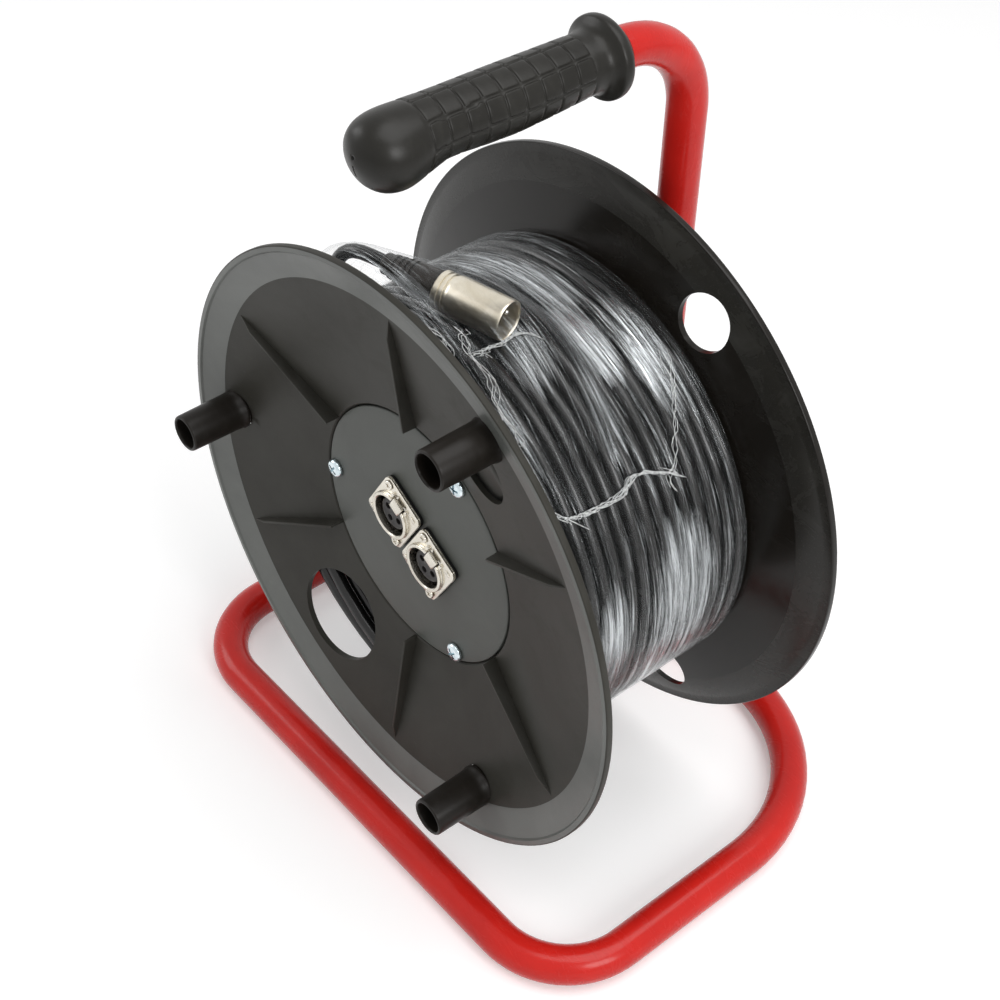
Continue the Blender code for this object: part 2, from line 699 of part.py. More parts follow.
def build_axle(parent, steel, zinc):
    bore = BOLT_RADIUS + SEAT_GAP
    rear = HUB_REAR - SEAT_GAP - BUSH_COLLAR_THICKNESS - RUNNING_GAP
    front = HUB_FRONT + SEAT_GAP + BUSH_COLLAR_THICKNESS + RUNNING_GAP
    sleeve = turned(ring_profile(bore, SLEEVE_RADIUS, rear + SEAT_GAP, front), 16)
    add_mesh("axle_sleeve", sleeve, steel, parent)
    tube_rear = UPRIGHT_LOCAL - TUBE_RADIUS
    upright = TUBE_RADIUS + SEAT_GAP

    standoff = turned(ring_profile(bore, STANDOFF_RADIUS, UPRIGHT_LOCAL + 0.002, rear), 16)
    standoff = add_mesh("axle_standoff", standoff, steel, parent)
    saddle = turned(
        ring_profile(bore, SADDLE_RADIUS, tube_rear - SADDLE_THICKNESS, UPRIGHT_LOCAL - 0.003), 16
    )
    saddle = add_mesh("axle_saddle", saddle, steel, parent)
    for item in (standoff, saddle):
        bed = bmesh.new()
        place = Matrix.Translation((0.0, 0.0, UPRIGHT_LOCAL)) @ Matrix.Rotation(math.pi / 2, 4, "X")
        bmesh.ops.create_cone(
            bed, cap_ends=True, segments=24, radius1=upright, radius2=upright, depth=0.05, matrix=place
        )
        combine(item, add_mesh(item.name + "_bed", bed, parent=parent), "DIFFERENCE")

    washer_low = front + SEAT_GAP
    washer = turned(ring_profile(bore, WASHER_RADIUS, washer_low, washer_low + WASHER_THICKNESS), 16)
    add_mesh("axle_washer", washer, zinc, parent)
    nut_low = washer_low + WASHER_THICKNESS + SEAT_GAP
    nut_radius = NUT_ACROSS_FLATS / math.sqrt(3)
    nut = bmesh.new()
    add_rod(nut, nut_radius, nut_low, nut_low + NUT_HEIGHT, steps=6)
    nut = add_mesh("axle_locknut", nut, zinc, parent, smooth=False)
    drill = bmesh.new()
    add_rod(drill, bore, nut_low - PAST, nut_low + NUT_HEIGHT + PAST, steps=20)
    combine(nut, add_mesh("axle_locknut_bore", drill, parent=parent), "DIFFERENCE")

    head_face = tube_rear - SADDLE_THICKNESS - SEAT_GAP
    bolt_tip = nut_low + NUT_HEIGHT + BOLT_END
    bolt = bmesh.new()
    add_rod(bolt, BOLT_RADIUS, head_face - BOLT_HEAD / 2, bolt_tip, steps=20)
    bolt = add_mesh("axle_bolt", bolt, zinc, parent)
    head = bmesh.new()
    add_rod(head, nut_radius, head_face - BOLT_HEAD, head_face, steps=6)
    combine(bolt, add_mesh("axle_bolt_head", head, parent=parent), "UNION")


def rounded_plate(width, height, cut, low, high):
    shape = bmesh.new()
    half_width = width / 2
    half_height = height / 2
    steps = 4
    outline = []
    for turn, (sx, sy) in enumerate(((1, 1), (-1, 1), (-1, -1), (1, -1))):
        centre = Vector((sx * (half_width - cut), sy * (half_height - cut)))
        for count in range(steps + 1):
            angle = math.pi / 2 * (turn + count / steps)
            outline.append(centre + cut * Vector((math.cos(angle), math.sin(angle))))
    face = shape.faces.new([shape.verts.new((point.x, point.y, low)) for point in outline])
    grown = bmesh.ops.extrude_face_region(shape, geom=[face])
    top = [item for item in grown["geom"] if isinstance(item, bmesh.types.BMVert)]
    bmesh.ops.translate(shape, verts=top, vec=(0.0, 0.0, high - low))
    return shape


def contact_spots(radius, turn):
    return [polar(radius, turn + offset) for offset in (0.0, -90.0, 90.0)]


def build_socket(number, parent, looks):
    place = polar((number - 1.5) * SOCKET_PITCH, SOCKET_TURN)
    turn = math.radians(SOCKET_TURN)
    socket = add_empty(f"socket_{number}", (*place, PLATE_FRONT), (0.0, 0.0, turn), parent)
    gasket_top = SEAT_GAP + GASKET_THICKNESS
    seat = gasket_top + SEAT_GAP
    face = seat + SOCKET_FLANGE
    bore_at = (0.0, -BORE_DROP)

    gasket = add_mesh(
        f"socket_gasket_{number}",
        rounded_plate(SOCKET_WIDTH, SOCKET_HEIGHT, SOCKET_CORNER, SEAT_GAP, gasket_top),
        looks["gasket"],
        socket,
        smooth=False,
    )
    fixings = bmesh.new()
    for sign in (-1, 1):
        spot = (-sign * FIXING_SPREAD[0], sign * FIXING_SPREAD[1])
        add_rod(fixings, FIXING_RADIUS + SEAT_GAP, -PAST, face + PAST, spot, 8)
    fixings = add_mesh(f"socket_fixing_holes_{number}", fixings, parent=socket)
    opening = bmesh.new()
    add_rod(opening, SOCKET_BODY + SEAT_GAP, -PAST, face + PAST, steps=24)
    opening = add_mesh(f"socket_gasket_opening_{number}", opening, parent=socket)
    combine(gasket, fixings, "DIFFERENCE")
    combine(gasket, opening, "DIFFERENCE")

    plate = rounded_plate(SOCKET_WIDTH, SOCKET_HEIGHT, SOCKET_CORNER, seat, face)
    shell = add_mesh(f"socket_shell_{number}", plate, looks["nickel"], socket)
    body = bmesh.new()
    add_rod(body, SOCKET_BODY, face - SOCKET_BODY_LENGTH, seat + SOCKET_FLANGE / 2, steps=24)
    combine(shell, add_mesh(f"socket_body_{number}", body, parent=socket), "UNION")
    ring = bmesh.new()
    add_rod(ring, RING_RADIUS, seat + SOCKET_FLANGE / 2, face + RING_RISE, bore_at, 24)
    combine(shell, add_mesh(f"socket_ring_{number}", ring, parent=socket), "UNION")
    bore = bmesh.new()
    add_rod(bore, SOCKET_BORE, face - SOCKET_BODY_LENGTH - PAST, face + PAST, bore_at, 24)
    combine(shell, add_mesh(f"socket_bore_{number}", bore, parent=socket), "DIFFERENCE")
    combine(shell, fixings, "DIFFERENCE")

    tab_low = face + RING_RISE - TAB_PLATE + 0.0002
    slot = bmesh.new()
    slot_reach = TAB_OUTER_EDGE + RUNNING_GAP
    leg_back = TAB_LEG_PLACE + TAB_LEG_THICKNESS / 2 + RUNNING_GAP
    slot_depth = TAB_LEG_LENGTH + TAB_TRAVEL + RUNNING_GAP
    middle = (TAB_INNER_EDGE + slot_reach) / 2 - BORE_DROP
    width = TAB_WIDTH + 2 * RUNNING_GAP
    add_box(
        slot,
        (width, slot_reach - TAB_INNER_EDGE, 0.02),
        (0.0, middle, tab_low - TAB_TRAVEL - RUNNING_GAP + PAST),
    )
    combine(shell, add_mesh(f"socket_tab_slot_{number}", slot, parent=socket), "DIFFERENCE")
    well = bmesh.new()
    well_front = TAB_LEG_PLACE - TAB_LEG_THICKNESS / 2 - RUNNING_GAP
    well_top = tab_low
    add_box(
        well,
        (TAB_LEG_WIDTH + 2 * RUNNING_GAP, leg_back - well_front, slot_depth + 0.004),
        (0.0, (leg_back + well_front) / 2 - BORE_DROP, well_top - slot_depth / 2 + 0.001),
    )
    combine(shell, add_mesh(f"socket_leg_well_{number}", well, parent=socket), "DIFFERENCE")

    tab = bmesh.new()
    add_box(
        tab,
        (TAB_WIDTH, TAB_OUTER_EDGE - TAB_INNER_EDGE, TAB_PLATE),
        (0.0, (TAB_OUTER_EDGE + TAB_INNER_EDGE) / 2 - BORE_DROP, tab_low + TAB_PLATE / 2),
    )
    tab = add_mesh(f"release_tab_{number}", tab, looks["nickel"], socket, smooth=False)
    leg = bmesh.new()
    add_box(
        leg,
        (TAB_LEG_WIDTH, TAB_LEG_THICKNESS, TAB_LEG_LENGTH + TAB_PLATE / 2),
        (0.0, TAB_LEG_PLACE - BORE_DROP, tab_low + TAB_PLATE / 4 - TAB_LEG_LENGTH / 2),
    )
    combine(tab, add_mesh(f"release_leg_{number}", leg, parent=socket, smooth=False), "UNION")

    foot = face - SOCKET_BODY_LENGTH + 0.001
    insert = [
        (0.0, foot),
        (SOCKET_BORE - SEAT_GAP, foot),
        (SOCKET_BORE - SEAT_GAP, foot + FACE_FOOT),
        (FACE_RADIUS, foot + FACE_FOOT),
        (FACE_RADIUS, face - CONTACT_FACE - 0.0004),
        (FACE_RADIUS - 0.0004, face - CONTACT_FACE),
        (0.0, face - CONTACT_FACE),
    ]
    insert = add_mesh(f"socket_insert_{number}", turned(insert, 16), looks["black"], socket)
    insert.location = (*bore_at, 0.0)
    drills = bmesh.new()
    for spot in contact_spots(CONTACT_CIRCLE, -90.0):
        centre = (spot[0] + bore_at[0], spot[1] + bore_at[1])
        add_rod(drills, CONTACT_HOLE, foot - PAST, face + PAST, centre, 10)
    drills = add_mesh(f"socket_contact_holes_{number}", drills, parent=socket)
    combine(insert, drills, "DIFFERENCE")
    for letter, spot in zip("abc", contact_spots(CONTACT_CIRCLE, -90.0)):
        contact = bmesh.new()
        centre = (spot[0] + bore_at[0], spot[1] + bore_at[1])
        low = foot - CONTACT_TAIL
        high = face - CONTACT_FACE - CONTACT_SINK
        add_rod(contact, CONTACT_RADIUS, low, high, centre, 8)
        add_mesh(f"socket_contact_{number}{letter}", contact, looks["contact"], socket)
    for letter, sign in zip("ab", (-1, 1)):
        seat_height = face + SEAT_GAP
        shape = pan_screw(seat_height, FIXING_RADIUS, FIXING_LENGTH, FIXING_HEAD, FIXING_RISE, 10)
        fixing = add_mesh(f"socket_fixing_{number}{letter}", shape, looks["nickel"], socket)
        fixing.location = (-sign * FIXING_SPREAD[0], sign * FIXING_SPREAD[1], 0.0)


# Half width of the wound pack at a radius, clear of both flanges
def pack_half(radius):
    if radius < SEAT_RADIUS + 0.001:
        return HALF_WIDTH - SEAT_DEPTH - 0.0008
    return cable_side(radius) - 0.0006


def build_core(parent, look):
    inner = BARREL_RADIUS + SEAT_GAP
    step = SEAT_RADIUS + 0.0012
    profile = [
        (inner, -pack_half(inner)),
        (step, -pack_half(inner)),
        (step + 0.0006, -pack_half(step)),
        (CORE_RADIUS, -pack_half(CORE_RADIUS)),
        (CORE_RADIUS, pack_half(CORE_RADIUS)),
        (step + 0.0006, pack_half(step)),
        (step, pack_half(inner)),
        (inner, pack_half(inner)),
    ]
    core = add_mesh("cable_core", turned(profile, 36), look, parent)
    risers = bmesh.new()
    for number in (1, 2):
        end, heading = winding_end(number)
        outward = heading.cross(Vector((0.0, 0.0, 1.0)))
        basis = Matrix((outward, heading.cross(outward), heading)).transposed()
        shape = basis @ Matrix.Diagonal((RISER_HEIGHT / 2, RISER_WIDTH / 2, 1.0))
        middle = end + heading * (SEAT_GAP + RISER_LENGTH / 2) - outward * RISER_SINK
        bmesh.ops.create_cone(
            risers,
            cap_ends=True,
            segments=10,
            radius1=1.0,
            radius2=1.0,
            depth=RISER_LENGTH,
            matrix=Matrix.Translation(middle) @ shape.to_4x4(),
        )
    combine(core, add_mesh("cable_core_risers", risers, parent=parent), "UNION")
    return core


def smooth_share(value):
    value = min(max(value, 0.0), 1.0)
    return value * value * (3.0 - 2.0 * value)


def on_drum(radius, degrees, height):
    return Vector((*polar(radius, degrees), height))


# Height between the outermost lanes, and as many lanes as the cable's thickness allows
def lane_span():
    return 2 * (cable_side(PACK_RADIUS) - CABLE_RADIUS - LANE_CLEARANCE)


def lane_count():
    return int(lane_span() / (2 * CABLE_RADIUS * LANE_ROOM)) + 1


# Height of a cable's lane on the drum; both cables fall two lanes in each turn
def lane_height(number, degrees):
    turned_by = (degrees - OUTER_END_ANGLE[0]) / 360.0
    pitch = lane_span() / (lane_count() - 1)
    return lane_span() / 2 - (number - 1 + 2 * turned_by) * pitch


def inner_end_angle():
    return OUTER_END_ANGLE[0] + 180.0 * (lane_count() - 2)


# Where a winding's inner end stops, and the way it points there
def winding_end(number):
    last = inner_end_angle()
    heading = Vector((*polar(1.0, last + 90.0), 0.0))
    end = on_drum(PACK_RADIUS, last, lane_height(number, last)) + heading * 2 * CABLE_RADIUS
    return end, heading


def plug_frame(number):
    spec = PLUG_PLACES[number - 1]
    touch = PACK_RADIUS + CABLE_RADIUS + PLUG_RADIUS + 0.0005
    foot = Vector((*polar(touch, spec["touch"]), 0.0))
    level = Vector((*polar(1.0, spec["touch"] - 90.0), 0.0))
    swing = math.radians(spec["swing"])
    axis = (level * math.cos(swing) + Vector((0.0, 0.0, 1.0)) * math.sin(swing)).normalized()
    start = foot + level * spec["along"]
    start.z = spec["across"]
    return start, axis


# One cable's outer layer: from its plug, along the pack, down into its lane and round
def winding_route(number):
    begin, axis = plug_frame(number)
    start = OUTER_END_ANGLE[number - 1]
    landing = PLUG_PLACES[number - 1]["touch"] + LANDING_ARC
    shift = PLUG_PLACES[number - 1]["touch"] + SHIFT_ARC
    end, _ = winding_end(number)
    lane = lane_height(number, start)
    exit_point = begin - axis * SEAT_GAP
    straight = exit_point - axis * 2.2 * CABLE_RADIUS
    land = on_drum(RIDE_RADIUS, landing, 0.0)
    climb = start - CLIMB_ARC
    land_share = smooth_share((landing - shift) / (climb - shift))
    land.z = begin.z + (lane - begin.z) * land_share
    leave = Vector((*polar(1.0, landing + 90.0), 0.0))
    leave.z = (lane - begin.z) * 0.9 / (math.radians(climb - shift) * RIDE_RADIUS)
    leave.normalize()
    reach = 0.45 * (land - straight).length
    route = [exit_point]
    steps = 7
    for count in range(steps):
        t = count / steps
        a = straight * (1 - t) ** 3
        b = (straight - axis * reach) * 3 * t * (1 - t) ** 2
        c = (land - leave * reach) * 3 * t * t * (1 - t)
        route.append(a + b + c + land * t ** 3)
    step = 360.0 / LOOP_POINTS
    degrees = landing
    while degrees < start - 1.0:
        share = smooth_share((degrees - shift) / (climb - shift))
        target = min(lane_height(number, degrees), lane_height(number, OUTER_END_ANGLE[0]))
        height = begin.z + (target - begin.z) * share
        drop = smooth_share((degrees - climb) / CLIMB_ARC)
        radius = RIDE_RADIUS + (PACK_RADIUS - RIDE_RADIUS) * drop
        route.append(on_drum(radius, degrees, height))
        degrees += step / 2
    count = round((inner_end_angle() - start) / step)
    for index in range(count + 1):
        degrees = start + index * step
        route.append(on_drum(PACK_RADIUS, degrees, lane_height(number, degrees)))
    route.append(end)
    return route


def build_winding(number, parent, look):
    cable = tube_along(
        f"cable_winding_{number}", winding_route(number), CABLE_RADIUS, look, resolution=1
    )
    cable.parent = parent
    return cable


# Least clear distance between points of the wound tubes, also of a tube to itself
def least_gap():
    routes = [winding_route(number) for number in (1, 2)]
    dense = []
    for route in routes:
        points = []
        for first, second in zip(route, route[1:]):
            pieces = 8
            points += [first.lerp(second, k / pieces) for k in range(pieces)]
        dense.append(points)
    least = 1.0
    for number, points in enumerate(dense):
        travelled = [0.0]
        for first, second in zip(points, points[1:]):
            travelled.append(travelled[-1] + (second - first).length)
        for other_number, others in enumerate(dense[number:], number):
            for index, point in enumerate(points):
                for other_index, other in enumerate(others):
                    if other_number == number and abs(other_index - index) < 60:
                        continue
                    if abs(point.z - other.z) > 0.009 or (point - other).length_squared > 0.0001:
                        continue
                    least = min(least, (point - other).length - 2 * CABLE_RADIUS)
    return least


def build_plug(number, parent, looks):
    begin, axis = plug_frame(number)
    turn = Vector((0, 0, 1)).rotation_difference(axis)
    plug = add_empty(f"plug_{number}", begin, turn.to_euler(), parent)
    mouth = BOOT_LENGTH + PLUG_SHELL_LENGTH
    rear = BOOT_LENGTH + SEAT_GAP
    floor = mouth - PLUG_BORE_DEPTH
    groove = 0.0005
    shell = [
        (PLUG_THROAT, rear),
        (PLUG_REAR_RADIUS, rear),
        (PLUG_REAR_RADIUS, rear + 0.0046),
        (PLUG_REAR_RADIUS - groove, rear + 0.0050),
        (PLUG_REAR_RADIUS - groove, rear + 0.0064),
        (PLUG_RADIUS, rear + 0.0070),
        (PLUG_RADIUS, mouth),
        (PLUG_BORE + 0.0001, mouth),
        (PLUG_BORE, floor),
        (PLUG_THROAT, floor),
    ]
    add_mesh(f"plug_shell_{number}", turned(shell, 22), looks["nickel"], plug)
    boot = [
        (0.0, 0.0),
        (BOOT_END_RADIUS, 0.0),
        (BOOT_END_RADIUS + 0.0004, 0.010),
        (BOOT_RADIUS, 0.020),
        (BOOT_RADIUS, BOOT_LENGTH),
        (PLUG_THROAT - SEAT_GAP, BOOT_LENGTH),
        (PLUG_THROAT - SEAT_GAP, BOOT_LENGTH + BOOT_SPIGOT),
        (0.0, BOOT_LENGTH + BOOT_SPIGOT),
    ]
    add_mesh(f"plug_boot_{number}", turned(boot, 16), looks["rubber"], plug)
    low = floor + SEAT_GAP
    high = low + FACE_THICKNESS
    insert = bmesh.new()
    add_rod(insert, PLUG_BORE - SEAT_GAP, low, high, steps=20)
    insert = add_mesh(f"plug_insert_{number}", insert, looks["black"], plug)
    drills = bmesh.new()
    for spot in contact_spots(PIN_CIRCLE, 90.0):
        add_rod(drills, PIN_RADIUS + SEAT_GAP, low - 0.005, high + 0.005, spot, 8)
    combine(insert, add_mesh(f"plug_pin_holes_{number}", drills, parent=plug), "DIFFERENCE")
    for letter, spot in zip("abc", contact_spots(PIN_CIRCLE, 90.0)):
        tip = mouth - PIN_RECESS
        foot = BOOT_LENGTH + BOOT_SPIGOT + SEAT_GAP
        pin = [
            (0.0, foot),
            (PIN_RADIUS, foot),
            (PIN_RADIUS, tip - 0.0008),
            (PIN_RADIUS * 0.5, tip),
            (0.0, tip),
        ]
        pin = add_mesh(f"plug_pin_{number}{letter}", turned(pin, 8), looks["contact"], plug)
        pin.location = (*spot, 0.0)


def main():
    clear_scene()
    red = make_material("red paint", (0.62, 0.028, 0.022), 0.32)
    weld = make_material("painted weld", (0.60, 0.030, 0.024), 0.42)
    rubber = make_material("grip rubber", (0.012, 0.012, 0.012), 0.55)
    flange_look = make_material("flange plastic", (0.030, 0.031, 0.029), 0.50)
    rear_look = make_material("rear flange plastic", (0.014, 0.014, 0.013), 0.30)
    plate_look = make_material("hub plate", (0.048, 0.050, 0.046), 0.48)
    post_look = make_material("post plastic", (0.010, 0.010, 0.010), 0.45)
    barrel_look = make_material("barrel plastic", (0.020, 0.020, 0.020), 0.55)
    cable_look = make_material("cable jacket", (0.010, 0.010, 0.011), 0.38)
    zinc = make_material("zinc plate", (0.68, 0.72, 0.74), 0.28, 1.0)
    steel = make_material("axle steel", (0.50, 0.50, 0.49), 0.35, 1.0)
    nickel = make_material("nickel plate", (0.74, 0.70, 0.61), 0.26, 1.0)
    contact = make_material("silvered contact", (0.80, 0.79, 0.76), 0.20, 1.0)
    black = make_material("contact insert", (0.012, 0.012, 0.012), 0.50)
    gasket = make_material("gasket", (0.55, 0.54, 0.50), 0.60)
    bearing = make_material("bearing plastic", (0.62, 0.60, 0.54), 0.45)
    looks = {
        "nickel": nickel,
        "contact": contact,
        "black": black,
        "gasket": gasket,
        "rubber": rubber,
    }

    build_floor_loop(red)
    build_handle_tube(red)
    build_weld_bead(-1, weld)
    build_weld_bead(1, weld)
    build_grip(rubber)

    facing = (math.pi / 2, 0.0, 0.0)
    axle_line = add_empty("axle_line", (0.0, DRUM_Y, AXLE_HEIGHT), facing)
    drum = add_empty("drum_axis", (0.0, DRUM_Y, AXLE_HEIGHT), facing)
    turned_round = add_empty("drum_rear_side", (0.0, 0.0, 0.0), (math.pi, 0.0, 0.0), drum)
    build_axle(axle_line, steel, zinc)

    build_barrel(drum, barrel_look)
    build_web(drum, barrel_look)
    build_bush("bearing_bush_front", HUB_FRONT, 1, drum, bearing)
    build_bush("bearing_bush_rear", HUB_REAR, -1, drum, bearing)
    spigot = POST_RADIUS + SEAT_GAP
    build_flange("front_flange", drum, flange_look, FRONT_CENTRE_HOLE, spigot, False)
    rear_hole = BUSH_COLLAR + 2 * RUNNING_GAP + HUB_CLEARANCE
    build_flange("rear_flange", turned_round, rear_look, rear_hole, SPARE_POST_HOLE, True)
    build_hub_plate(drum, plate_look)
    build_screws("hub_screw", PLATE_FRONT + SEAT_GAP, drum, zinc, False)
    floor = HALF_WIDTH - RECESS_FLOOR + SEAT_GAP
    build_screws("rear_screw", floor, turned_round, zinc, True)
    for number, angle in enumerate(POST_ANGLES, 1):
        build_post(f"post_{number}", angle, drum, post_look)
    for number in (1, 2):
        build_socket(number, drum, looks)
    build_core(drum, cable_look)
    for number in (1, 2):
        build_winding(number, drum, cable_look)
        build_plug(number, drum, looks)
    print(f"least gap of the wound tubes {least_gap() * 1000:.2f} mm")


main()
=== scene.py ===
# Looks for a two-channel microphone cable drum on its red tube stand.
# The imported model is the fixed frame; every piece here rides on one of its bodies.

import math

import bmesh
import bpy
import numpy as np
from mathutils import Matrix, Vector
from mathutils import noise as mathNoise


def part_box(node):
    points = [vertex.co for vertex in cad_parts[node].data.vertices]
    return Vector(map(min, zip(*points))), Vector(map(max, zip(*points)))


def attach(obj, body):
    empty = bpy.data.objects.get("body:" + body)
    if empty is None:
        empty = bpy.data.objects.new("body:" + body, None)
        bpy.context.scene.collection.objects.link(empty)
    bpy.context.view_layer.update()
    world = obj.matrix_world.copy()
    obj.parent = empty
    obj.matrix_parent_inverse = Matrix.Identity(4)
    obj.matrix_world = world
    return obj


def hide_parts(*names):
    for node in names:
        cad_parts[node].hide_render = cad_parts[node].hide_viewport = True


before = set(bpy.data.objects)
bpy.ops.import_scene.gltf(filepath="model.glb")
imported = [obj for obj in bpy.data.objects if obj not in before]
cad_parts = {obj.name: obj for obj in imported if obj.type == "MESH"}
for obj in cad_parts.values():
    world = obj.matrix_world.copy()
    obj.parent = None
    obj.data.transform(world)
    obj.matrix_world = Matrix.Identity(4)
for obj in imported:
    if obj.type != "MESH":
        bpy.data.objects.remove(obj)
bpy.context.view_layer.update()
print("frame loaded:", len(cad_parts), "nodes")


# places read from the frame
frontLow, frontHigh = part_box("front_flange")
rearLow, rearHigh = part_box("rear_flange")
axleX = (frontLow.x + frontHigh.x) / 2
axleZ = (frontLow.z + frontHigh.z) / 2
drumMiddle = (frontLow.y + rearHigh.y) / 2
halfWidth = (rearHigh.y - frontLow.y) / 2
flangeRadius = (frontHigh.z - frontLow.z) / 2
gripLow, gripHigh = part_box("grip")
loopLow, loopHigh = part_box("floor_loop")
plateLow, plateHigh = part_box("hub_plate")
plateDepth = plateLow.y - frontLow.y      # outer face of the hub plate behind the rim

# turns drum coordinates (Z towards the socket side) into the row frame
drumPlace = Matrix.Translation((axleX, drumMiddle, axleZ)) @ Matrix.Rotation(math.pi / 2, 4, "X")
rearPlace = drumPlace @ Matrix.Rotation(math.pi, 4, "X")

tube = {"radius": 0.009, "frontBend": 0.040, "rearBend": 0.080, "handleBend": 0.042}
tube["spanX"] = (loopHigh.x - loopLow.x) / 2 - tube["radius"]
tube["spanY"] = (loopHigh.y - loopLow.y) / 2 - tube["radius"]
tube["upright"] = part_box("handle_tube")[1].y - tube["radius"]
tube["top"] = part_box("handle_tube")[1].z - tube["radius"]

camera = {
    "place": (0.47398, -0.43847, 0.75004),
    "azimuth": 48.38,
    "elevation": 40.29,
    "roll": 1.95,
    "focal": 1919.0,           # pixels
    "centre": (502.9, 407.3),  # where the lens axis meets the frame, pixels
    "frame": 1000.0,
}


def buildCamera():
    data = bpy.data.cameras.new("photo_camera")
    item = bpy.data.objects.new("photo_camera", data)
    bpy.context.scene.collection.objects.link(item)
    turn, tilt = math.radians(camera["azimuth"]), math.radians(camera["elevation"])
    back = Vector((math.sin(turn) * math.cos(tilt), -math.cos(turn) * math.cos(tilt), math.sin(tilt)))
    right = Vector((0, 0, 1)).cross(back).normalized()
    up = back.cross(right)
    roll = math.radians(camera["roll"])
    rolledRight = right * math.cos(roll) + up * math.sin(roll)
    rolledUp = up * math.cos(roll) - right * math.sin(roll)
    axes = Matrix((rolledRight, rolledUp, back)).transposed().to_4x4()
    item.matrix_world = Matrix.Translation(camera["place"]) @ axes
    data.sensor_width = 36
    data.lens = camera["focal"] * data.sensor_width / camera["frame"]
    data.shift_x = 0.5 - camera["centre"][0] / camera["frame"]
    data.shift_y = camera["centre"][1] / camera["frame"] - 0.5
    data.clip_start = 0.05
    bpy.context.scene.camera = item


# small helpers for nodes
def addNode(tree, kind, **inputs):
    node = tree.nodes.new(kind)
    for name, value in inputs.items():
        key = name.replace("_", " ")
        if isinstance(value, bpy.types.NodeSocket):
            tree.links.new(value, node.inputs[key])
        else:
            node.inputs[key].default_value = value
    return node


def mathNode(tree, operation, first, second=None, third=None, clamp=False):
    node = tree.nodes.new("ShaderNodeMath")
    node.operation = operation
    node.use_clamp = clamp
    for spot, value in enumerate((first, second, third)):
        if value is None:
            continue
        if isinstance(value, bpy.types.NodeSocket):
            tree.links.new(value, node.inputs[spot])
        else:
            node.inputs[spot].default_value = value
    return node.outputs[0]


def mixColour(tree, share, first, second):
    node = tree.nodes.new("ShaderNodeMix")
    node.data_type = "RGBA"
    for name, value in (("Factor_Float", share), ("A_Color", first), ("B_Color", second)):
        spot = next(s for s in node.inputs if s.identifier == name)
        if isinstance(value, bpy.types.NodeSocket):
            tree.links.new(value, spot)
        else:
            spot.default_value = value if name == "Factor_Float" else (*value, 1.0)
    return next(s for s in node.outputs if s.identifier == "Result_Color")


def spread(tree, value, low, high, toLow=0.0, toHigh=1.0):
    node = tree.nodes.new("ShaderNodeMapRange")
    tree.links.new(value, node.inputs["Value"])
    node.inputs["From Min"].default_value = low
    node.inputs["From Max"].default_value = high
    node.inputs["To Min"].default_value = toLow
    node.inputs["To Max"].default_value = toHigh
    return node.outputs["Result"]


def noise(tree, vector, scale, detail=4.0, roughness=0.55, distortion=0.0):
    node = addNode(tree, "ShaderNodeTexNoise", Vector=vector, Scale=scale, Detail=detail)
    node.inputs["Roughness"].default_value = roughness
    node.inputs["Distortion"].default_value = distortion
    return node.outputs["Fac"]


def stretched(tree, vector, scale, turn=(0, 0, 0)):
    node = addNode(tree, "ShaderNodeMapping", Vector=vector, Scale=scale, Rotation=turn)
    return node.outputs["Vector"]


def newGroup(name, inputs, outputs):
    group = bpy.data.node_groups.new(name, "ShaderNodeTree")
    for label, kind, value in inputs:
        socket = group.interface.new_socket(label, in_out="INPUT", socket_type=kind)
        if value is not None:
            socket.default_value = value
    for label in outputs:
        group.interface.new_socket(label, in_out="OUTPUT", socket_type="NodeSocketFloat")
    return group, group.nodes.new("NodeGroupInput"), group.nodes.new("NodeGroupOutput")


# fine spark texture of a mould, as a height and a mask of its pits
def buildGrainGroup():
    group, given, made = newGroup(
        "mouldGrain",
        [("Vector", "NodeSocketVector", None), ("Scale", "NodeSocketFloat", 2600.0)],
        ["Height", "Pits"],
    )
    fine = noise(group, given.outputs["Vector"], given.outputs["Scale"], 3.0, 0.6)
    coarse = noise(group, given.outputs["Vector"], mathNode(group, "MULTIPLY", given.outputs["Scale"], 0.33))
    height = mathNode(group, "ADD", mathNode(group, "MULTIPLY", fine, 0.65), mathNode(group, "MULTIPLY", coarse, 0.35))
    group.links.new(height, made.inputs["Height"])
    group.links.new(spread(group, height, 0.56, 0.66), made.inputs["Pits"])
    return group


# soft handling marks and cloudiness, from large to small
def buildSmudgeGroup():
    group, given, made = newGroup(
        "handlingMarks",
        [("Vector", "NodeSocketVector", None), ("Scale", "NodeSocketFloat", 18.0)],
        ["Cloud", "Smear"],
    )
    cloud = noise(group, given.outputs["Vector"], given.outputs["Scale"], 5.0, 0.62, 0.4)
    slanted = stretched(group, given.outputs["Vector"], (1.0, 4.5, 1.6), (0.3, 0.5, 0.9))
    smear = noise(group, slanted, mathNode(group, "MULTIPLY", given.outputs["Scale"], 2.2), 6.0, 0.7, 0.8)
    group.links.new(spread(group, cloud, 0.35, 0.68), made.inputs["Cloud"])
    group.links.new(spread(group, smear, 0.50, 0.74), made.inputs["Smear"])
    return group


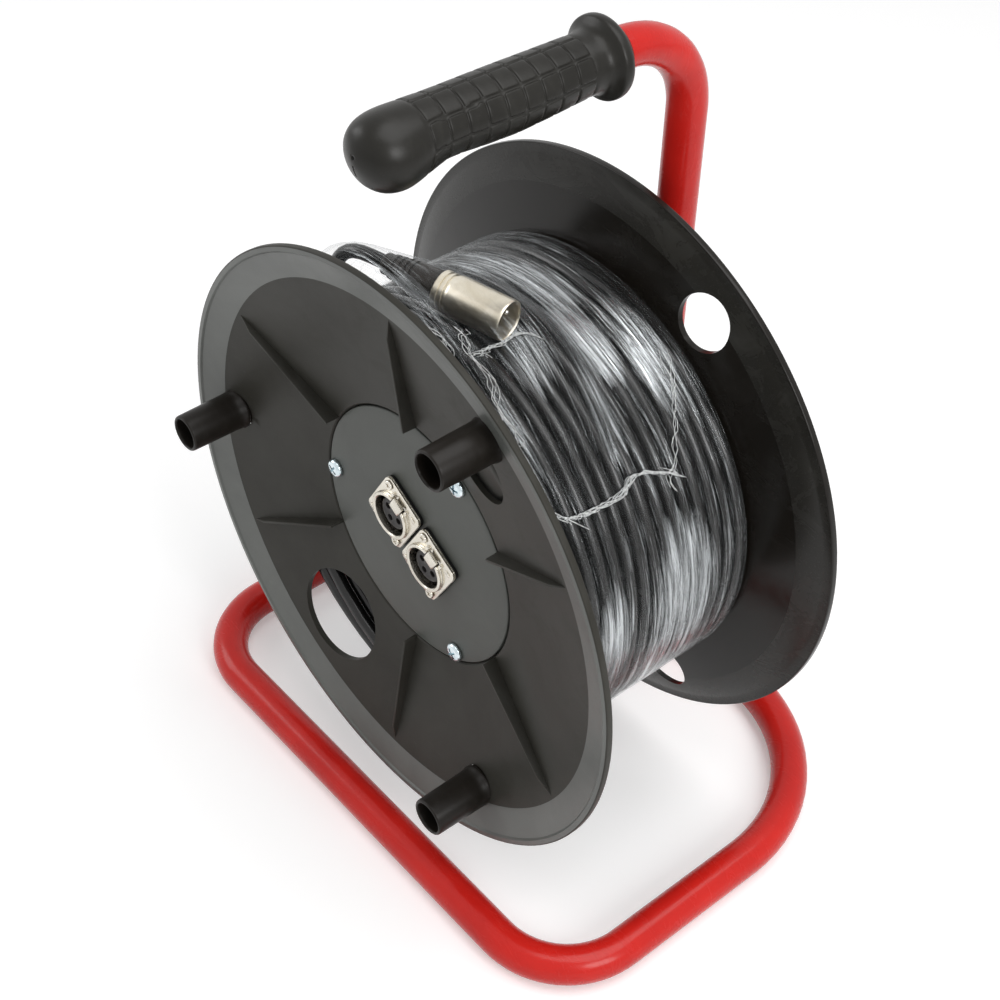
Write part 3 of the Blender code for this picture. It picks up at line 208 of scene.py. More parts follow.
# thin scratches in two directions, as a mask
def buildScratchGroup():
    group, given, made = newGroup(
        "fineScratches",
        [("Vector", "NodeSocketVector", None), ("Scale", "NodeSocketFloat", 60.0), ("Amount", "NodeSocketFloat", 0.5)],
        ["Mask"],
    )
    lines = None
    for turn, long in (((0.2, 0.4, 0.7), 24.0), ((1.1, 0.3, 2.2), 16.0)):
        along = stretched(group, given.outputs["Vector"], (1.0, long, long), turn)
        fine = noise(group, along, given.outputs["Scale"], 2.0, 0.5, 0.3)
        line = spread(group, fine, 0.70, 0.78)
        lines = line if lines is None else mathNode(group, "MAXIMUM", lines, line)
    patch = spread(group, noise(group, given.outputs["Vector"], 14.0, 2.0), 0.45, 0.62)
    mask = mathNode(group, "MULTIPLY", mathNode(group, "MULTIPLY", lines, patch), given.outputs["Amount"])
    group.links.new(mask, made.inputs["Mask"])
    return group


groups = {"grain": buildGrainGroup(), "smudge": buildSmudgeGroup(), "scratch": buildScratchGroup()}


def place(tree, group, **inputs):
    node = tree.nodes.new("ShaderNodeGroup")
    node.node_tree = groups[group]
    for name, value in inputs.items():
        if isinstance(value, bpy.types.NodeSocket):
            tree.links.new(value, node.inputs[name])
        else:
            node.inputs[name].default_value = value
    return node.outputs


def startMaterial(name):
    made = bpy.data.materials.new(name)
    made.use_nodes = True
    tree = made.node_tree
    shader = tree.nodes["Principled BSDF"]
    coords = tree.nodes.new("ShaderNodeTexCoord")
    return made, tree, shader, coords.outputs["Object"]


def bump(tree, shader, height, strength, distance=0.0002, normal=None):
    node = addNode(tree, "ShaderNodeBump", Height=height, Strength=strength, Distance=distance)
    if normal is not None:
        tree.links.new(normal, node.inputs["Normal"])
    tree.links.new(node.outputs["Normal"], shader.inputs["Normal"])
    return node.outputs["Normal"]


# moulded plastic or rubber: cloudy tone, paler smears and scratches, spark grain
def mouldedPlastic(name, spec):
    made, tree, shader, where = startMaterial(name)
    marks = place(tree, "smudge", Vector=where, Scale=spec["cloudScale"])
    grain = place(tree, "grain", Vector=where, Scale=spec["grainScale"])
    scratch = place(tree, "scratch", Vector=where, Scale=spec["scratchScale"], Amount=spec["scratch"])
    tone = mixColour(tree, marks["Cloud"], spec["dark"], spec["light"])
    smearShare = mathNode(tree, "MULTIPLY", marks["Smear"], spec["smear"])
    tone = mixColour(tree, smearShare, tone, spec["mark"])
    tone = mixColour(tree, scratch["Mask"], tone, spec["mark"])
    tree.links.new(tone, shader.inputs["Base Color"])
    rough = spread(tree, marks["Smear"], 0.0, 1.0, spec["rough"], spec["rough"] + spec["roughRange"])
    rough = mathNode(tree, "ADD", rough, mathNode(tree, "MULTIPLY", grain["Pits"], 0.05), clamp=True)
    tree.links.new(rough, shader.inputs["Roughness"])
    shader.inputs["Specular IOR Level"].default_value = spec["shine"]
    bump(tree, shader, grain["Height"], spec["grain"], spec.get("grainDepth", 0.00012))
    return made


def sprayedPaint(name, spec):
    made, tree, shader, where = startMaterial(name)
    marks = place(tree, "smudge", Vector=where, Scale=22.0)
    scratch = place(tree, "scratch", Vector=where, Scale=80.0, Amount=spec["scratch"])
    tone = mixColour(tree, marks["Cloud"], spec["dark"], spec["light"])
    tone = mixColour(tree, scratch["Mask"], tone, spec["mark"])
    tree.links.new(tone, shader.inputs["Base Color"])
    rough = spread(tree, marks["Smear"], 0.0, 1.0, spec["rough"], spec["rough"] + 0.12)
    tree.links.new(rough, shader.inputs["Roughness"])
    shader.inputs["Specular IOR Level"].default_value = spec["shine"]
    shader.inputs["Coat Weight"].default_value = spec["coat"]
    shader.inputs["Coat Roughness"].default_value = 0.06
    peel = noise(tree, where, 330.0, 2.0, 0.5)
    bump(tree, shader, peel, spec["peel"], 0.0003)
    return made


def platedMetal(name, spec):
    made, tree, shader, where = startMaterial(name)
    marks = place(tree, "smudge", Vector=where, Scale=spec["cloudScale"])
    grain = place(tree, "grain", Vector=where, Scale=spec["grainScale"])
    scratch = place(tree, "scratch", Vector=where, Scale=spec["scratchScale"], Amount=spec["scratch"])
    tone = mixColour(tree, marks["Cloud"], spec["dark"], spec["light"])
    tone = mixColour(tree, scratch["Mask"], tone, spec["mark"])
    tree.links.new(tone, shader.inputs["Base Color"])
    shader.inputs["Metallic"].default_value = 1.0
    rough = spread(tree, marks["Smear"], 0.0, 1.0, spec["rough"], spec["rough"] + spec["roughRange"])
    tree.links.new(rough, shader.inputs["Roughness"])
    bump(tree, shader, grain["Height"], spec["grain"], 0.00006)
    return made


looks = {}


# clear film: silvery streaks along the turns, milky in patches, denser where it turns away; the whitish streaks are
# painted highlights on the wrinkles, the patches partly real haze and partly painted highlight, the denser edge partly
# painted reflection
def clearFilm(name):
    made, tree, shader, where = startMaterial(name)
    coords = tree.nodes.new("ShaderNodeTexCoord")
    flat = coords.outputs["UV"]
    wide = noise(tree, stretched(tree, flat, (7.0, 17.0, 1.0), (0, 0, 0.02)), 1.0, 2.0, 0.5, 0.8)
    fine = noise(tree, stretched(tree, flat, (15.0, 52.0, 1.0)), 1.0, 3.0, 0.55, 1.2)
    hair = noise(tree, stretched(tree, flat, (22.0, 170.0, 1.0), (0, 0, 0.04)), 1.0, 2.0, 0.6, 0.8)
    patch = spread(tree, noise(tree, stretched(tree, flat, (9.0, 5.0, 1.0)), 1.0, 3.0), 0.46, 0.58)
    split = tree.nodes.new("ShaderNodeSeparateXYZ")
    tree.links.new(flat, split.inputs["Vector"])
    hazeAndHighlight = None
    # milky patches from the table: partly real haze, partly painted highlight
    for angle, height, long, broad, strength in hazeAndHighlightPatches:
        turned = (angle + 180.0) % 360.0 / 360.0
        alongU = mathNode(tree, "DIVIDE", mathNode(tree, "SUBTRACT", split.outputs["X"], turned), long / 360.0)
        acrossV = height / (2 * film["half"]) + 0.5
        alongV = mathNode(tree, "DIVIDE", mathNode(tree, "SUBTRACT", split.outputs["Y"], acrossV), broad / (2 * film["half"]))
        far = mathNode(tree, "ADD", mathNode(tree, "POWER", mathNode(tree, "ABSOLUTE", alongU), 2.0),
                       mathNode(tree, "POWER", mathNode(tree, "ABSOLUTE", alongV), 2.0))
        near = mathNode(tree, "MULTIPLY", spread(tree, far, 0.0, 1.6, 1.0, 0.0), strength)
        hazeAndHighlight = near if hazeAndHighlight is None else mathNode(tree, "MAXIMUM", hazeAndHighlight, near)
    torn = mathNode(tree, "ADD", hazeAndHighlight, mathNode(tree, "MULTIPLY", fine, 0.9))
    torn = spread(tree, mathNode(tree, "ADD", torn, mathNode(tree, "MULTIPLY", wide, 0.7)), 1.05, 1.55)
    broken = mathNode(tree, "MULTIPLY", torn, spread(tree, fine, 0.40, 0.60, 0.45, 1.0))
    # streaks and fine hair lines along the turns: whitish opacity painted as highlights on the wrinkles
    streakHighlight = mathNode(tree, "ADD", mathNode(tree, "MULTIPLY", wide, 0.6), mathNode(tree, "MULTIPLY", fine, 0.4))
    streakHighlight = mathNode(tree, "MULTIPLY", spread(tree, streakHighlight, 0.53, 0.60), spread(tree, patch, 0.0, 1.0, 0.06, 0.75))
    lines = mathNode(tree, "MULTIPLY", spread(tree, hair, 0.61, 0.67), spread(tree, patch, 0.0, 1.0, 0.15, 0.7))
    # whiter where the film turns away from the view: partly the longer path through the film, partly painted
    # reflection
    turnedAway = tree.nodes.new("ShaderNodeLayerWeight")
    turnedAway.inputs["Blend"].default_value = 0.35
    edge = mathNode(tree, "MULTIPLY", mathNode(tree, "POWER", turnedAway.outputs["Facing"], 3.0), 0.5)
    hazeAndHighlightAlpha = mathNode(tree, "ADD", mathNode(tree, "MULTIPLY", broken, 0.72), mathNode(tree, "MULTIPLY", streakHighlight, 0.50))
    hazeAndHighlightAlpha = mathNode(tree, "ADD", hazeAndHighlightAlpha, mathNode(tree, "MULTIPLY", lines, 0.6))
    hazeAndHighlightAlpha = mathNode(tree, "ADD", hazeAndHighlightAlpha, edge)
    hazeAndHighlightAlpha = mathNode(tree, "ADD", hazeAndHighlightAlpha, 0.015, clamp=True)
    tree.links.new(mathNode(tree, "MINIMUM", hazeAndHighlightAlpha, 0.88), shader.inputs["Alpha"])
    # whitish base colour of the streaks and patches: painted highlight
    tree.links.new(mixColour(tree, fine, (0.30, 0.32, 0.33), (0.88, 0.92, 0.94)), shader.inputs["Base Color"])
    tree.links.new(spread(tree, wide, 0.40, 0.60, 0.30, 0.75), shader.inputs["Metallic"])
    shader.inputs["Roughness"].default_value = 0.20
    folds = mathNode(tree, "ADD", mathNode(tree, "MULTIPLY", wide, 0.6), mathNode(tree, "MULTIPLY", fine, 0.4))
    bump(tree, shader, folds, 0.9, 0.0030)
    return made


def gatheredFilm(name):
    made, tree, shader, where = startMaterial(name)
    torn = noise(tree, where, 900.0, 3.0, 0.6)
    tree.links.new(mixColour(tree, torn, (0.55, 0.56, 0.55), (0.86, 0.88, 0.88)), shader.inputs["Base Color"])
    tree.links.new(spread(tree, torn, 0.35, 0.65, 0.35, 0.95), shader.inputs["Alpha"])
    shader.inputs["Roughness"].default_value = 0.25
    return made


def buildMaterials():
    looks["film"] = clearFilm("wrapping_film")
    looks["strand"] = gatheredFilm("gathered_film")
    plastic = {
        "cloudScale": 16.0, "grainScale": 2400.0, "scratchScale": 60.0, "scratch": 0.35,
        "dark": (0.0250, 0.0235, 0.0190), "light": (0.0390, 0.0375, 0.0320), "mark": (0.095, 0.094, 0.086),
        "smear": 0.14, "rough": 0.46, "roughRange": 0.12, "grain": 0.35, "shine": 0.16,
    }
    looks["flange"] = mouldedPlastic("front_flange_plastic", plastic)
    # the flange's outer band gets a lighter plastic than the dish: painted sheen where the tilted band catches the
    # lamps
    looks["band"] = mouldedPlastic("flange_band_painted_sheen", {
        **plastic, "dark": (0.088, 0.093, 0.086), "light": (0.120, 0.126, 0.117), "mark": (0.19, 0.195, 0.188),
        "rough": 0.34, "grain": 0.20, "shine": 0.40,
    })
    # the rear flange is the same moulding as the front one, made darker here: painted shade on its inner face
    looks["rearFlangeShaded"] = mouldedPlastic("rear_flange_painted_shade", {
        **plastic, "dark": (0.0075, 0.0062, 0.0048), "light": (0.0120, 0.0102, 0.0082),
        "mark": (0.045, 0.043, 0.040), "smear": 0.10, "rough": 0.17, "roughRange": 0.14, "grain": 0.08,
        "scratch": 0.25, "shine": 0.23,
    })
    # the rear band is lighter than the rear dish, a painted reflection along the rim, and darker than the front band,
    # painted shade
    looks["rearBandSheenAndShade"] = mouldedPlastic("rear_band_painted_sheen_and_shade", {
        **plastic, "dark": (0.015, 0.014, 0.012), "light": (0.023, 0.022, 0.019), "rough": 0.26,
        "grain": 0.10, "shine": 0.24,
    })
    looks["plate"] = mouldedPlastic("hub_plate_plastic", {
        **plastic, "dark": (0.066, 0.070, 0.063), "light": (0.086, 0.091, 0.083),
        "mark": (0.15, 0.155, 0.145), "smear": 0.14, "rough": 0.42, "grain": 0.25, "shine": 0.24,
    })
    looks["post"] = mouldedPlastic("post_plastic", {
        **plastic, "dark": (0.0085, 0.0068, 0.0052), "light": (0.0135, 0.0110, 0.0088),
        "mark": (0.045, 0.042, 0.038), "smear": 0.10, "rough": 0.34, "grain": 0.22, "scratch": 0.25,
        "shine": 0.18,
    })
    looks["barrel"] = mouldedPlastic("barrel_plastic", {**plastic, "dark": (0.015, 0.015, 0.014), "rough": 0.5})
    looks["bearing"] = mouldedPlastic("bearing_plastic", {
        **plastic, "dark": (0.52, 0.50, 0.44), "light": (0.62, 0.60, 0.54), "mark": (0.70, 0.69, 0.66),
        "rough": 0.42, "shine": 0.5,
    })
    looks["insert"] = mouldedPlastic("contact_insert_plastic", {
        **plastic, "dark": (0.036, 0.033, 0.033), "light": (0.052, 0.049, 0.048),
        "mark": (0.09, 0.09, 0.088), "rough": 0.46, "grain": 0.30, "grainScale": 4200.0, "shine": 0.25,
    })
    looks["gasket"] = mouldedPlastic("gasket_rubber", {
        **plastic, "dark": (0.007, 0.007, 0.007), "light": (0.012, 0.012, 0.011),
        "mark": (0.04, 0.04, 0.04), "rough": 0.6, "grain": 0.4,
    })
    looks["grip"] = mouldedPlastic("grip_rubber", {
        **plastic, "dark": (0.0090, 0.0082, 0.0064), "light": (0.0160, 0.0150, 0.0122),
        "mark": (0.055, 0.053, 0.047), "smear": 0.12, "rough": 0.32, "roughRange": 0.14,
        "grain": 0.40, "grainScale": 1800.0, "scratch": 0.3, "shine": 0.24,
    })
    looks["boot"] = mouldedPlastic("boot_rubber", {
        **plastic, "dark": (0.011, 0.0085, 0.0066), "light": (0.019, 0.0150, 0.0120),
        "mark": (0.05, 0.046, 0.040), "rough": 0.36, "grain": 0.35, "shine": 0.25,
    })
    looks["cable"] = mouldedPlastic("cable_jacket_rubber", {
        **plastic, "dark": (0.0055, 0.0053, 0.0050), "light": (0.0090, 0.0088, 0.0084),
        "mark": (0.04, 0.04, 0.041), "smear": 0.10, "rough": 0.24, "roughRange": 0.12, "grain": 0.18,
        "grainScale": 1500.0, "scratch": 0.2, "shine": 0.42,
    })
    looks["paint"] = sprayedPaint("red_paint", {
        "dark": (0.50, 0.0125, 0.0090), "light": (0.60, 0.0165, 0.0110), "mark": (0.66, 0.10, 0.08),
        "rough": 0.24, "coat": 0.10, "peel": 0.10, "scratch": 0.25, "shine": 0.22,
    })
    looks["weld"] = sprayedPaint("painted_weld", {
        "dark": (0.44, 0.012, 0.010), "light": (0.55, 0.02, 0.015), "mark": (0.60, 0.09, 0.07),
        "rough": 0.36, "coat": 0.10, "peel": 0.65, "scratch": 0.2, "shine": 0.22,
    })
    metal = {
        "cloudScale": 60.0, "grainScale": 3200.0, "scratchScale": 110.0, "scratch": 0.5,
        "dark": (0.60, 0.565, 0.49), "light": (0.74, 0.705, 0.63), "mark": (0.86, 0.84, 0.78),
        "rough": 0.24, "roughRange": 0.16, "grain": 0.25,
    }
    looks["socket"] = platedMetal("socket_nickel", metal)
    looks["shell"] = platedMetal("plug_shell_nickel", {
        **metal, "dark": (0.66, 0.60, 0.48), "light": (0.80, 0.75, 0.64), "rough": 0.32, "grain": 0.55,
        "grainScale": 2600.0, "cloudScale": 90.0,
    })
    looks["contact"] = platedMetal("silvered_contact", {
        **metal, "dark": (0.74, 0.73, 0.70), "light": (0.86, 0.85, 0.82), "rough": 0.14, "grain": 0.1,
    })
    looks["zinc"] = platedMetal("blue_zinc", {
        **metal, "dark": (0.52, 0.62, 0.66), "light": (0.76, 0.83, 0.86), "mark": (0.90, 0.93, 0.95),
        "rough": 0.20, "cloudScale": 150.0,
    })
    looks["steel"] = platedMetal("turned_steel", {
        **metal, "dark": (0.40, 0.40, 0.39), "light": (0.52, 0.52, 0.51), "rough": 0.30,
    })
    print("materials built:", len(looks))


cadLooks = {
    "paint": ["floor_loop", "handle_tube"],
    "weld": ["weld_bead_left", "weld_bead_right"],
    "zinc": ["axle_bolt", "axle_washer", "axle_locknut", "hub_screw", "rear_screw"],
    "steel": ["axle_saddle", "axle_standoff", "axle_sleeve"],
    "bearing": ["bearing_bush"],
    "barrel": ["drum_barrel", "drum_web"],
    "flange": ["front_flange"],
    "rearFlangeShaded": ["rear_flange"],
    "plate": ["hub_plate"],
    "post": ["post_"],
    "gasket": ["socket_gasket"],
    "socket": ["socket_shell", "socket_fixing", "release_tab"],
    "insert": ["socket_insert", "plug_insert"],
    "contact": ["socket_contact", "plug_pin"],
    "shell": ["plug_shell"],
    "boot": ["plug_boot"],
    "grip": ["grip"],
    "cable": ["cable_core", "cable_winding"],
}


def dressFrame():
    for look, starts in cadLooks.items():
        for name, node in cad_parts.items():
            if any(name.startswith(start) for start in starts):
                node.data.materials.clear()
                node.data.materials.append(looks[look])


# modelling helpers
def deselectAll():
    if bpy.context.object and bpy.context.object.mode != "OBJECT":
        bpy.ops.object.mode_set(mode="OBJECT")
    bpy.ops.object.select_all(action="DESELECT")


def makeActive(item):
    deselectAll()
    item.select_set(True)
    bpy.context.view_layer.objects.active = item


def takeNew(name):
    item = bpy.context.object
    item.name = name
    item.data.name = name
    return item


def editOn(item):
    makeActive(item)
    bpy.ops.object.mode_set(mode="EDIT")
    bpy.ops.mesh.select_all(action="DESELECT")


def editOff():
    bpy.ops.object.mode_set(mode="OBJECT")


def pick(item, kind, test):
    bpy.ops.mesh.select_mode(type=kind)
    shape = bmesh.from_edit_mesh(item.data)
    parts = {"VERT": shape.verts, "EDGE": shape.edges, "FACE": shape.faces}[kind]
    for part in parts:
        part.select_set(False)
    for part in parts:
        if test(part):
            part.select_set(True)
    shape.select_flush_mode()
    bmesh.update_edit_mesh(item.data)


def applyModifiers(item):
    makeActive(item)
    for step in list(item.modifiers):
        bpy.ops.object.modifier_apply(modifier=step.name)


def settle(item, matrix=None):
    makeActive(item)
    if matrix is not None:
        item.matrix_world = matrix
    bpy.ops.object.transform_apply(location=True, rotation=True, scale=True)


def smooth(item, angle=35.0):
    makeActive(item)
    bpy.ops.object.shade_smooth_by_angle(angle=math.radians(angle))


def dress(item, look, body, slot, *nodes):
    item.data.materials.clear()
    item.data.materials.append(looks[look])
    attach(item, body)
    if nodes:
        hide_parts(*nodes)
    return item


onAxis = 0.0000008    # radius of a ring that is merged to one point on the axis


# a turned piece: a circle drawn out ring by ring, each ring moved along Z and scaled
def turnRings(name, rings, steps, closed=True):
    deselectAll()
    radius, height = rings[0]
    bpy.ops.mesh.primitive_circle_add(vertices=steps, radius=radius, location=(0, 0, height))
    item = takeNew(name)
    settle(item)
    bpy.ops.object.mode_set(mode="EDIT")
    bpy.ops.mesh.select_mode(type="EDGE")
    bpy.ops.mesh.select_all(action="SELECT")
    for nextRadius, nextHeight in rings[1:]:
        bpy.ops.mesh.extrude_region_move(TRANSFORM_OT_translate={"value": (0, 0, nextHeight - height)})
        scale = nextRadius / radius
        bpy.ops.transform.resize(value=(scale, scale, 1.0), center_override=(0, 0, nextHeight))
        radius, height = nextRadius, nextHeight
    if closed and rings[0][0] > onAxis:
        bpy.ops.mesh.extrude_region_move(TRANSFORM_OT_translate={"value": (0, 0, rings[0][1] - height)})
        scale = rings[0][0] / radius
        bpy.ops.transform.resize(value=(scale, scale, 1.0), center_override=(0, 0, rings[0][1]))
    bpy.ops.mesh.select_all(action="SELECT")
    bpy.ops.mesh.remove_doubles(threshold=0.000004)
    bpy.ops.mesh.normals_make_consistent(inside=False)
    editOff()
    return item


def addCylinder(name, radius, low, high, centre=(0.0, 0.0), steps=48):
    deselectAll()
    where = (centre[0], centre[1], (low + high) / 2)
    bpy.ops.mesh.primitive_cylinder_add(vertices=steps, radius=radius, depth=high - low, location=where)
    item = takeNew(name)
    settle(item)
    return item


def addBlock(name, size, centre):
    deselectAll()
    bpy.ops.mesh.primitive_cube_add(size=1.0, location=centre, scale=size)
    item = takeNew(name)
    settle(item)
    return item


def cutWith(item, tool, operation="DIFFERENCE"):
    makeActive(item)
    step = item.modifiers.new("cut", "BOOLEAN")
    step.operation = operation
    step.solver = "EXACT"
    step.object = tool
    bpy.ops.object.modifier_apply(modifier=step.name)
    bpy.data.objects.remove(tool, do_unlink=True)


def joinAll(name, items):
    deselectAll()
    for item in items:
        item.select_set(True)
    bpy.context.view_layer.objects.active = items[0]
    bpy.ops.object.join()
    return takeNew(name)


def edgeBevel(item, width, segments=2, angle=35.0):
    step = item.modifiers.new("edges", "BEVEL")
    step.width = width
    step.segments = segments
    step.limit_method = "ANGLE"
    step.angle_limit = math.radians(angle)
    step.harden_normals = False
    applyModifiers(item)


def tubeCurve(name, points, radius, cyclic, rings=8):
    data = bpy.data.curves.new(name, "CURVE")
    data.dimensions = "3D"
    data.bevel_depth = radius
    data.bevel_resolution = rings
    data.use_fill_caps = True
    line = data.splines.new("POLY")
    line.points.add(len(points) - 1)
    for spot, point in zip(line.points, points):
        spot.co = (*point, 1.0)
    line.use_cyclic_u = cyclic
    line.use_smooth = True
    item = bpy.data.objects.new(name, data)
    bpy.context.scene.collection.objects.link(item)
    return item


def polar(radius, degrees):
    angle = math.radians(degrees)
    return radius * math.cos(angle), radius * math.sin(angle)


def arcRings(centre, radius, start, end, steps):
    rings = []
    for count in range(steps + 1):
        angle = math.radians(start + (end - start) * count / steps)
        rings.append((centre[0] + radius * math.cos(angle), centre[1] + radius * math.sin(angle)))
    return rings


# the flanges, one moulding used twice
flange = {
    "radius": flangeRadius,
    "lipWidth": 0.0030,
    "lipThick": 0.0032,
    "lipRise": 0.0008,
    "lipRound": 0.0006,
    "bandRadius": 0.126,
    "bandDepth": 0.0050,
    "dishDepth": plateDepth,
    "recessRadius": 0.0629,
    "recessDepth": 0.0204,
    "wall": 0.0027,
    "backRadius": 0.0682,
    "ribThick": 0.0019,
    "ribHeight": 0.0030,       # where the crest starts, near the tip
    "ribRoot": 0.0068,         # at the hub plate
    "ribCrest": 0.1160,
    "ribTip": 0.1252,
    "steps": 160,
}
flange["slope"] = (flange["dishDepth"] - flange["bandDepth"]) / (flange["bandRadius"] - flange["recessRadius"])
holes = {
    "posts": (180.0, 60.0, -60.0),
    "postCircle": 0.1195,
    "spareHole": 0.013,
    "screwCircle": 0.05725,
    "windowAngle": -120.0,
    "windowCircle": 0.097,
    "windowRadius": 0.0235,
    "sideAngle": 58.0,
    "sideCircle": 0.092,
    "sideRadius": 0.0165,
}


def dishDepth(radius):
    if radius >= flange["bandRadius"]:
        outer = flange["radius"] - flange["lipWidth"]
        share = (outer - radius) / (outer - flange["bandRadius"])
        return flange["lipRise"] + share * (flange["bandDepth"] - flange["lipRise"])
    return flange["bandDepth"] + (flange["bandRadius"] - radius) * flange["slope"]


def flangeRings(centreHole):
    spec = flange
    rim = spec["radius"]
    lip = rim - spec["lipWidth"]
    top = halfWidth
    soft = spec["lipRound"]
    rings = [(centreHole, top - spec["recessDepth"])]
    rings += [(spec["recessRadius"] - 0.0012, top - spec["recessDepth"])]
    rings += [(spec["recessRadius"], top - spec["recessDepth"] + 0.0012)]
    rings += [(spec["recessRadius"], top - spec["dishDepth"] - 0.0005)]
    rings += [(spec["recessRadius"] + 0.0006, top - dishDepth(spec["recessRadius"] + 0.0006))]
    rings += [(0.0800, top - dishDepth(0.0800)), (0.1050, top - dishDepth(0.1050))]
    rings += [(spec["bandRadius"] - 0.0006, top - dishDepth(spec["bandRadius"] - 0.0006))]
    rings += [(spec["bandRadius"] + 0.0006, top - dishDepth(spec["bandRadius"] + 0.0006))]
    rings += [(lip - 0.0004, top - dishDepth(lip - 0.0004)), (lip, top - 0.0004), (lip + 0.0004, top)]
    rings += arcRings((rim - soft, top - soft), soft, 90, 0, 4)
    rings += arcRings((rim - soft, top - spec["lipThick"] + soft), soft, 0, -90, 4)
    rings += [(lip - 0.001, top - spec["lipThick"] - 0.0004)]
    rings += [(lip - 0.002, top - dishDepth(lip - 0.002) - spec["wall"])]
    rings += [(spec["bandRadius"], top - spec["bandDepth"] - spec["wall"])]
    rings += [(0.0950, top - dishDepth(0.0950) - spec["wall"])]
    rings += [(spec["backRadius"], top - dishDepth(spec["backRadius"]) - spec["wall"])]
    rings += [(spec["backRadius"], top - spec["recessDepth"] - spec["wall"])]
    rings += [(centreHole, top - spec["recessDepth"] - spec["wall"])]
    return rings


# one rib: a block tapered in edit mode to the dish, its outer end drawn down to a point
def makeRib(angle):
    spec = flange
    inner, outer = spec["recessRadius"] + 0.0002, spec["ribTip"]
    item = addBlock("rib", (outer - inner, spec["ribThick"], 0.006), ((outer + inner) / 2, 0.0, 0.0))
    editOn(item)
    bpy.ops.mesh.select_all(action="SELECT")
    bpy.ops.mesh.bisect(plane_co=(spec["ribCrest"], 0, 0), plane_no=(1, 0, 0))
    shape = bmesh.from_edit_mesh(item.data)
    for vert in shape.verts:
        radius = vert.co.x
        surface = halfWidth - dishDepth(radius)
        share = (spec["ribCrest"] - radius) / (spec["ribCrest"] - inner)
        crest = spec["ribHeight"] + (spec["ribRoot"] - spec["ribHeight"]) * share
        atTip = radius > spec["ribCrest"] + 0.001
        if vert.co.z > 0:
            vert.co.z = surface + (0.0 if atTip else crest)
            vert.co.y *= 0.62
        else:
            vert.co.z = surface - spec["wall"] * 0.6
        if atTip:
            vert.co.y *= 0.4
    bmesh.update_edit_mesh(item.data)
    editOff()
    edgeBevel(item, 0.00022, 2, 40)
    settle(item, Matrix.Rotation(math.radians(angle), 4, "Z"))
    return item


def makeFlange(name, centreHole, mirrored):
    item = turnRings(name, flangeRings(centreHole), flange["steps"])
    low, high = halfWidth - 0.03, halfWidth + 0.01
    sign = -1.0 if mirrored else 1.0
    postHole = holes["spareHole"] if mirrored else 0.0093
    for angle in holes["posts"]:
        cutWith(item, addCylinder("tool", postHole, low, high, polar(holes["postCircle"], sign * angle), 48))
        cutWith(item, addCylinder("tool", 0.0023, low, high, polar(holes["screwCircle"], sign * angle), 24))
    where = polar(holes["windowCircle"], sign * holes["windowAngle"])
    cutWith(item, addCylinder("tool", holes["windowRadius"], low, high, where, 96))
    if not mirrored:
        where = polar(holes["sideCircle"], holes["sideAngle"])
        cutWith(item, addCylinder("tool", holes["sideRadius"], low, high, where, 72))
    smooth(item, 30)
    ribs = [makeRib(30 + 60 * count) for count in range(6)]
    for rib in ribs:
        smooth(rib, 50)
    return joinAll(name, [item, *ribs])


def dressFlange(item, look, sheenBandLook, node):
    item.data.materials.clear()
    item.data.materials.append(looks[look])
    item.data.materials.append(looks[sheenBandLook])
    turned = item.data.vertices
    # the outer band's faces along the axle take the lighter band look, a painted sheen
    for face in item.data.polygons:
        radii = [math.hypot(turned[spot].co.x - axleX, turned[spot].co.z - axleZ) for spot in face.vertices]
        outward = min(radii) > flange["bandRadius"] - 0.0001 and max(radii) < flangeRadius - 0.0005
        face.material_index = 1 if outward and abs(face.normal.y) > 0.5 else 0
    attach(item, "drum")
    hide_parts(node)


def buildFlanges():
    front = makeFlange("flange_front", 0.050, False)
    settle(front, drumPlace)
    dressFlange(front, "flange", "band", "front_flange")
    rear = makeFlange("flange_rear", 0.0150, True)
    settle(rear, rearPlace)
    dressFlange(rear, "rearFlangeShaded", "rearBandSheenAndShade", "rear_flange")
    print("flanges built")


# posts for the winding knob
post = {"radius": 0.009, "bore": 0.0072, "reach": 0.0230, "collar": 0.0098, "floor": 0.0030}


def buildPosts():
    foot = halfWidth - dishDepth(holes["postCircle"])
    mouth = halfWidth + post["reach"]
    outer, bore = post["radius"], post["bore"]
    rings = [(onAxis, foot - 0.0033), (outer - 0.0002, foot - 0.0033), (outer - 0.0002, foot - 0.0015)]
    rings += [(post["collar"], foot - 0.0006), (post["collar"], foot + 0.0008)]
    rings += [(outer + 0.0003, foot + 0.0014), (outer + 0.0002, foot + 0.0050), (outer - 0.0001, mouth - 0.0011)]
    rings += arcRings((outer - 0.0010, mouth - 0.0009), 0.00085, 0, 90, 4)
    rings += [(bore + 0.0005, mouth), (bore + 0.0001, mouth - 0.0004), (bore, mouth - 0.0012)]
    rings += [(bore - 0.0003, foot + post["floor"]), (bore - 0.0008, foot + post["floor"] - 0.0004)]
    rings += [(onAxis, foot + post["floor"] - 0.0004)]
    for number, angle in enumerate(holes["posts"], 1):
        item = turnRings(f"winding_post_{number}", rings, 72)
        smooth(item, 40)
        settle(item, drumPlace @ Matrix.Translation((*polar(holes["postCircle"], angle), 0)))
        dress(item, "post", "drum", "black_plastic", f"post_{number}")
    print("posts built")


hub = {"plateRadius": 0.0620, "plateThick": 0.0018, "headRadius": 0.0046, "headHeight": 0.0026}


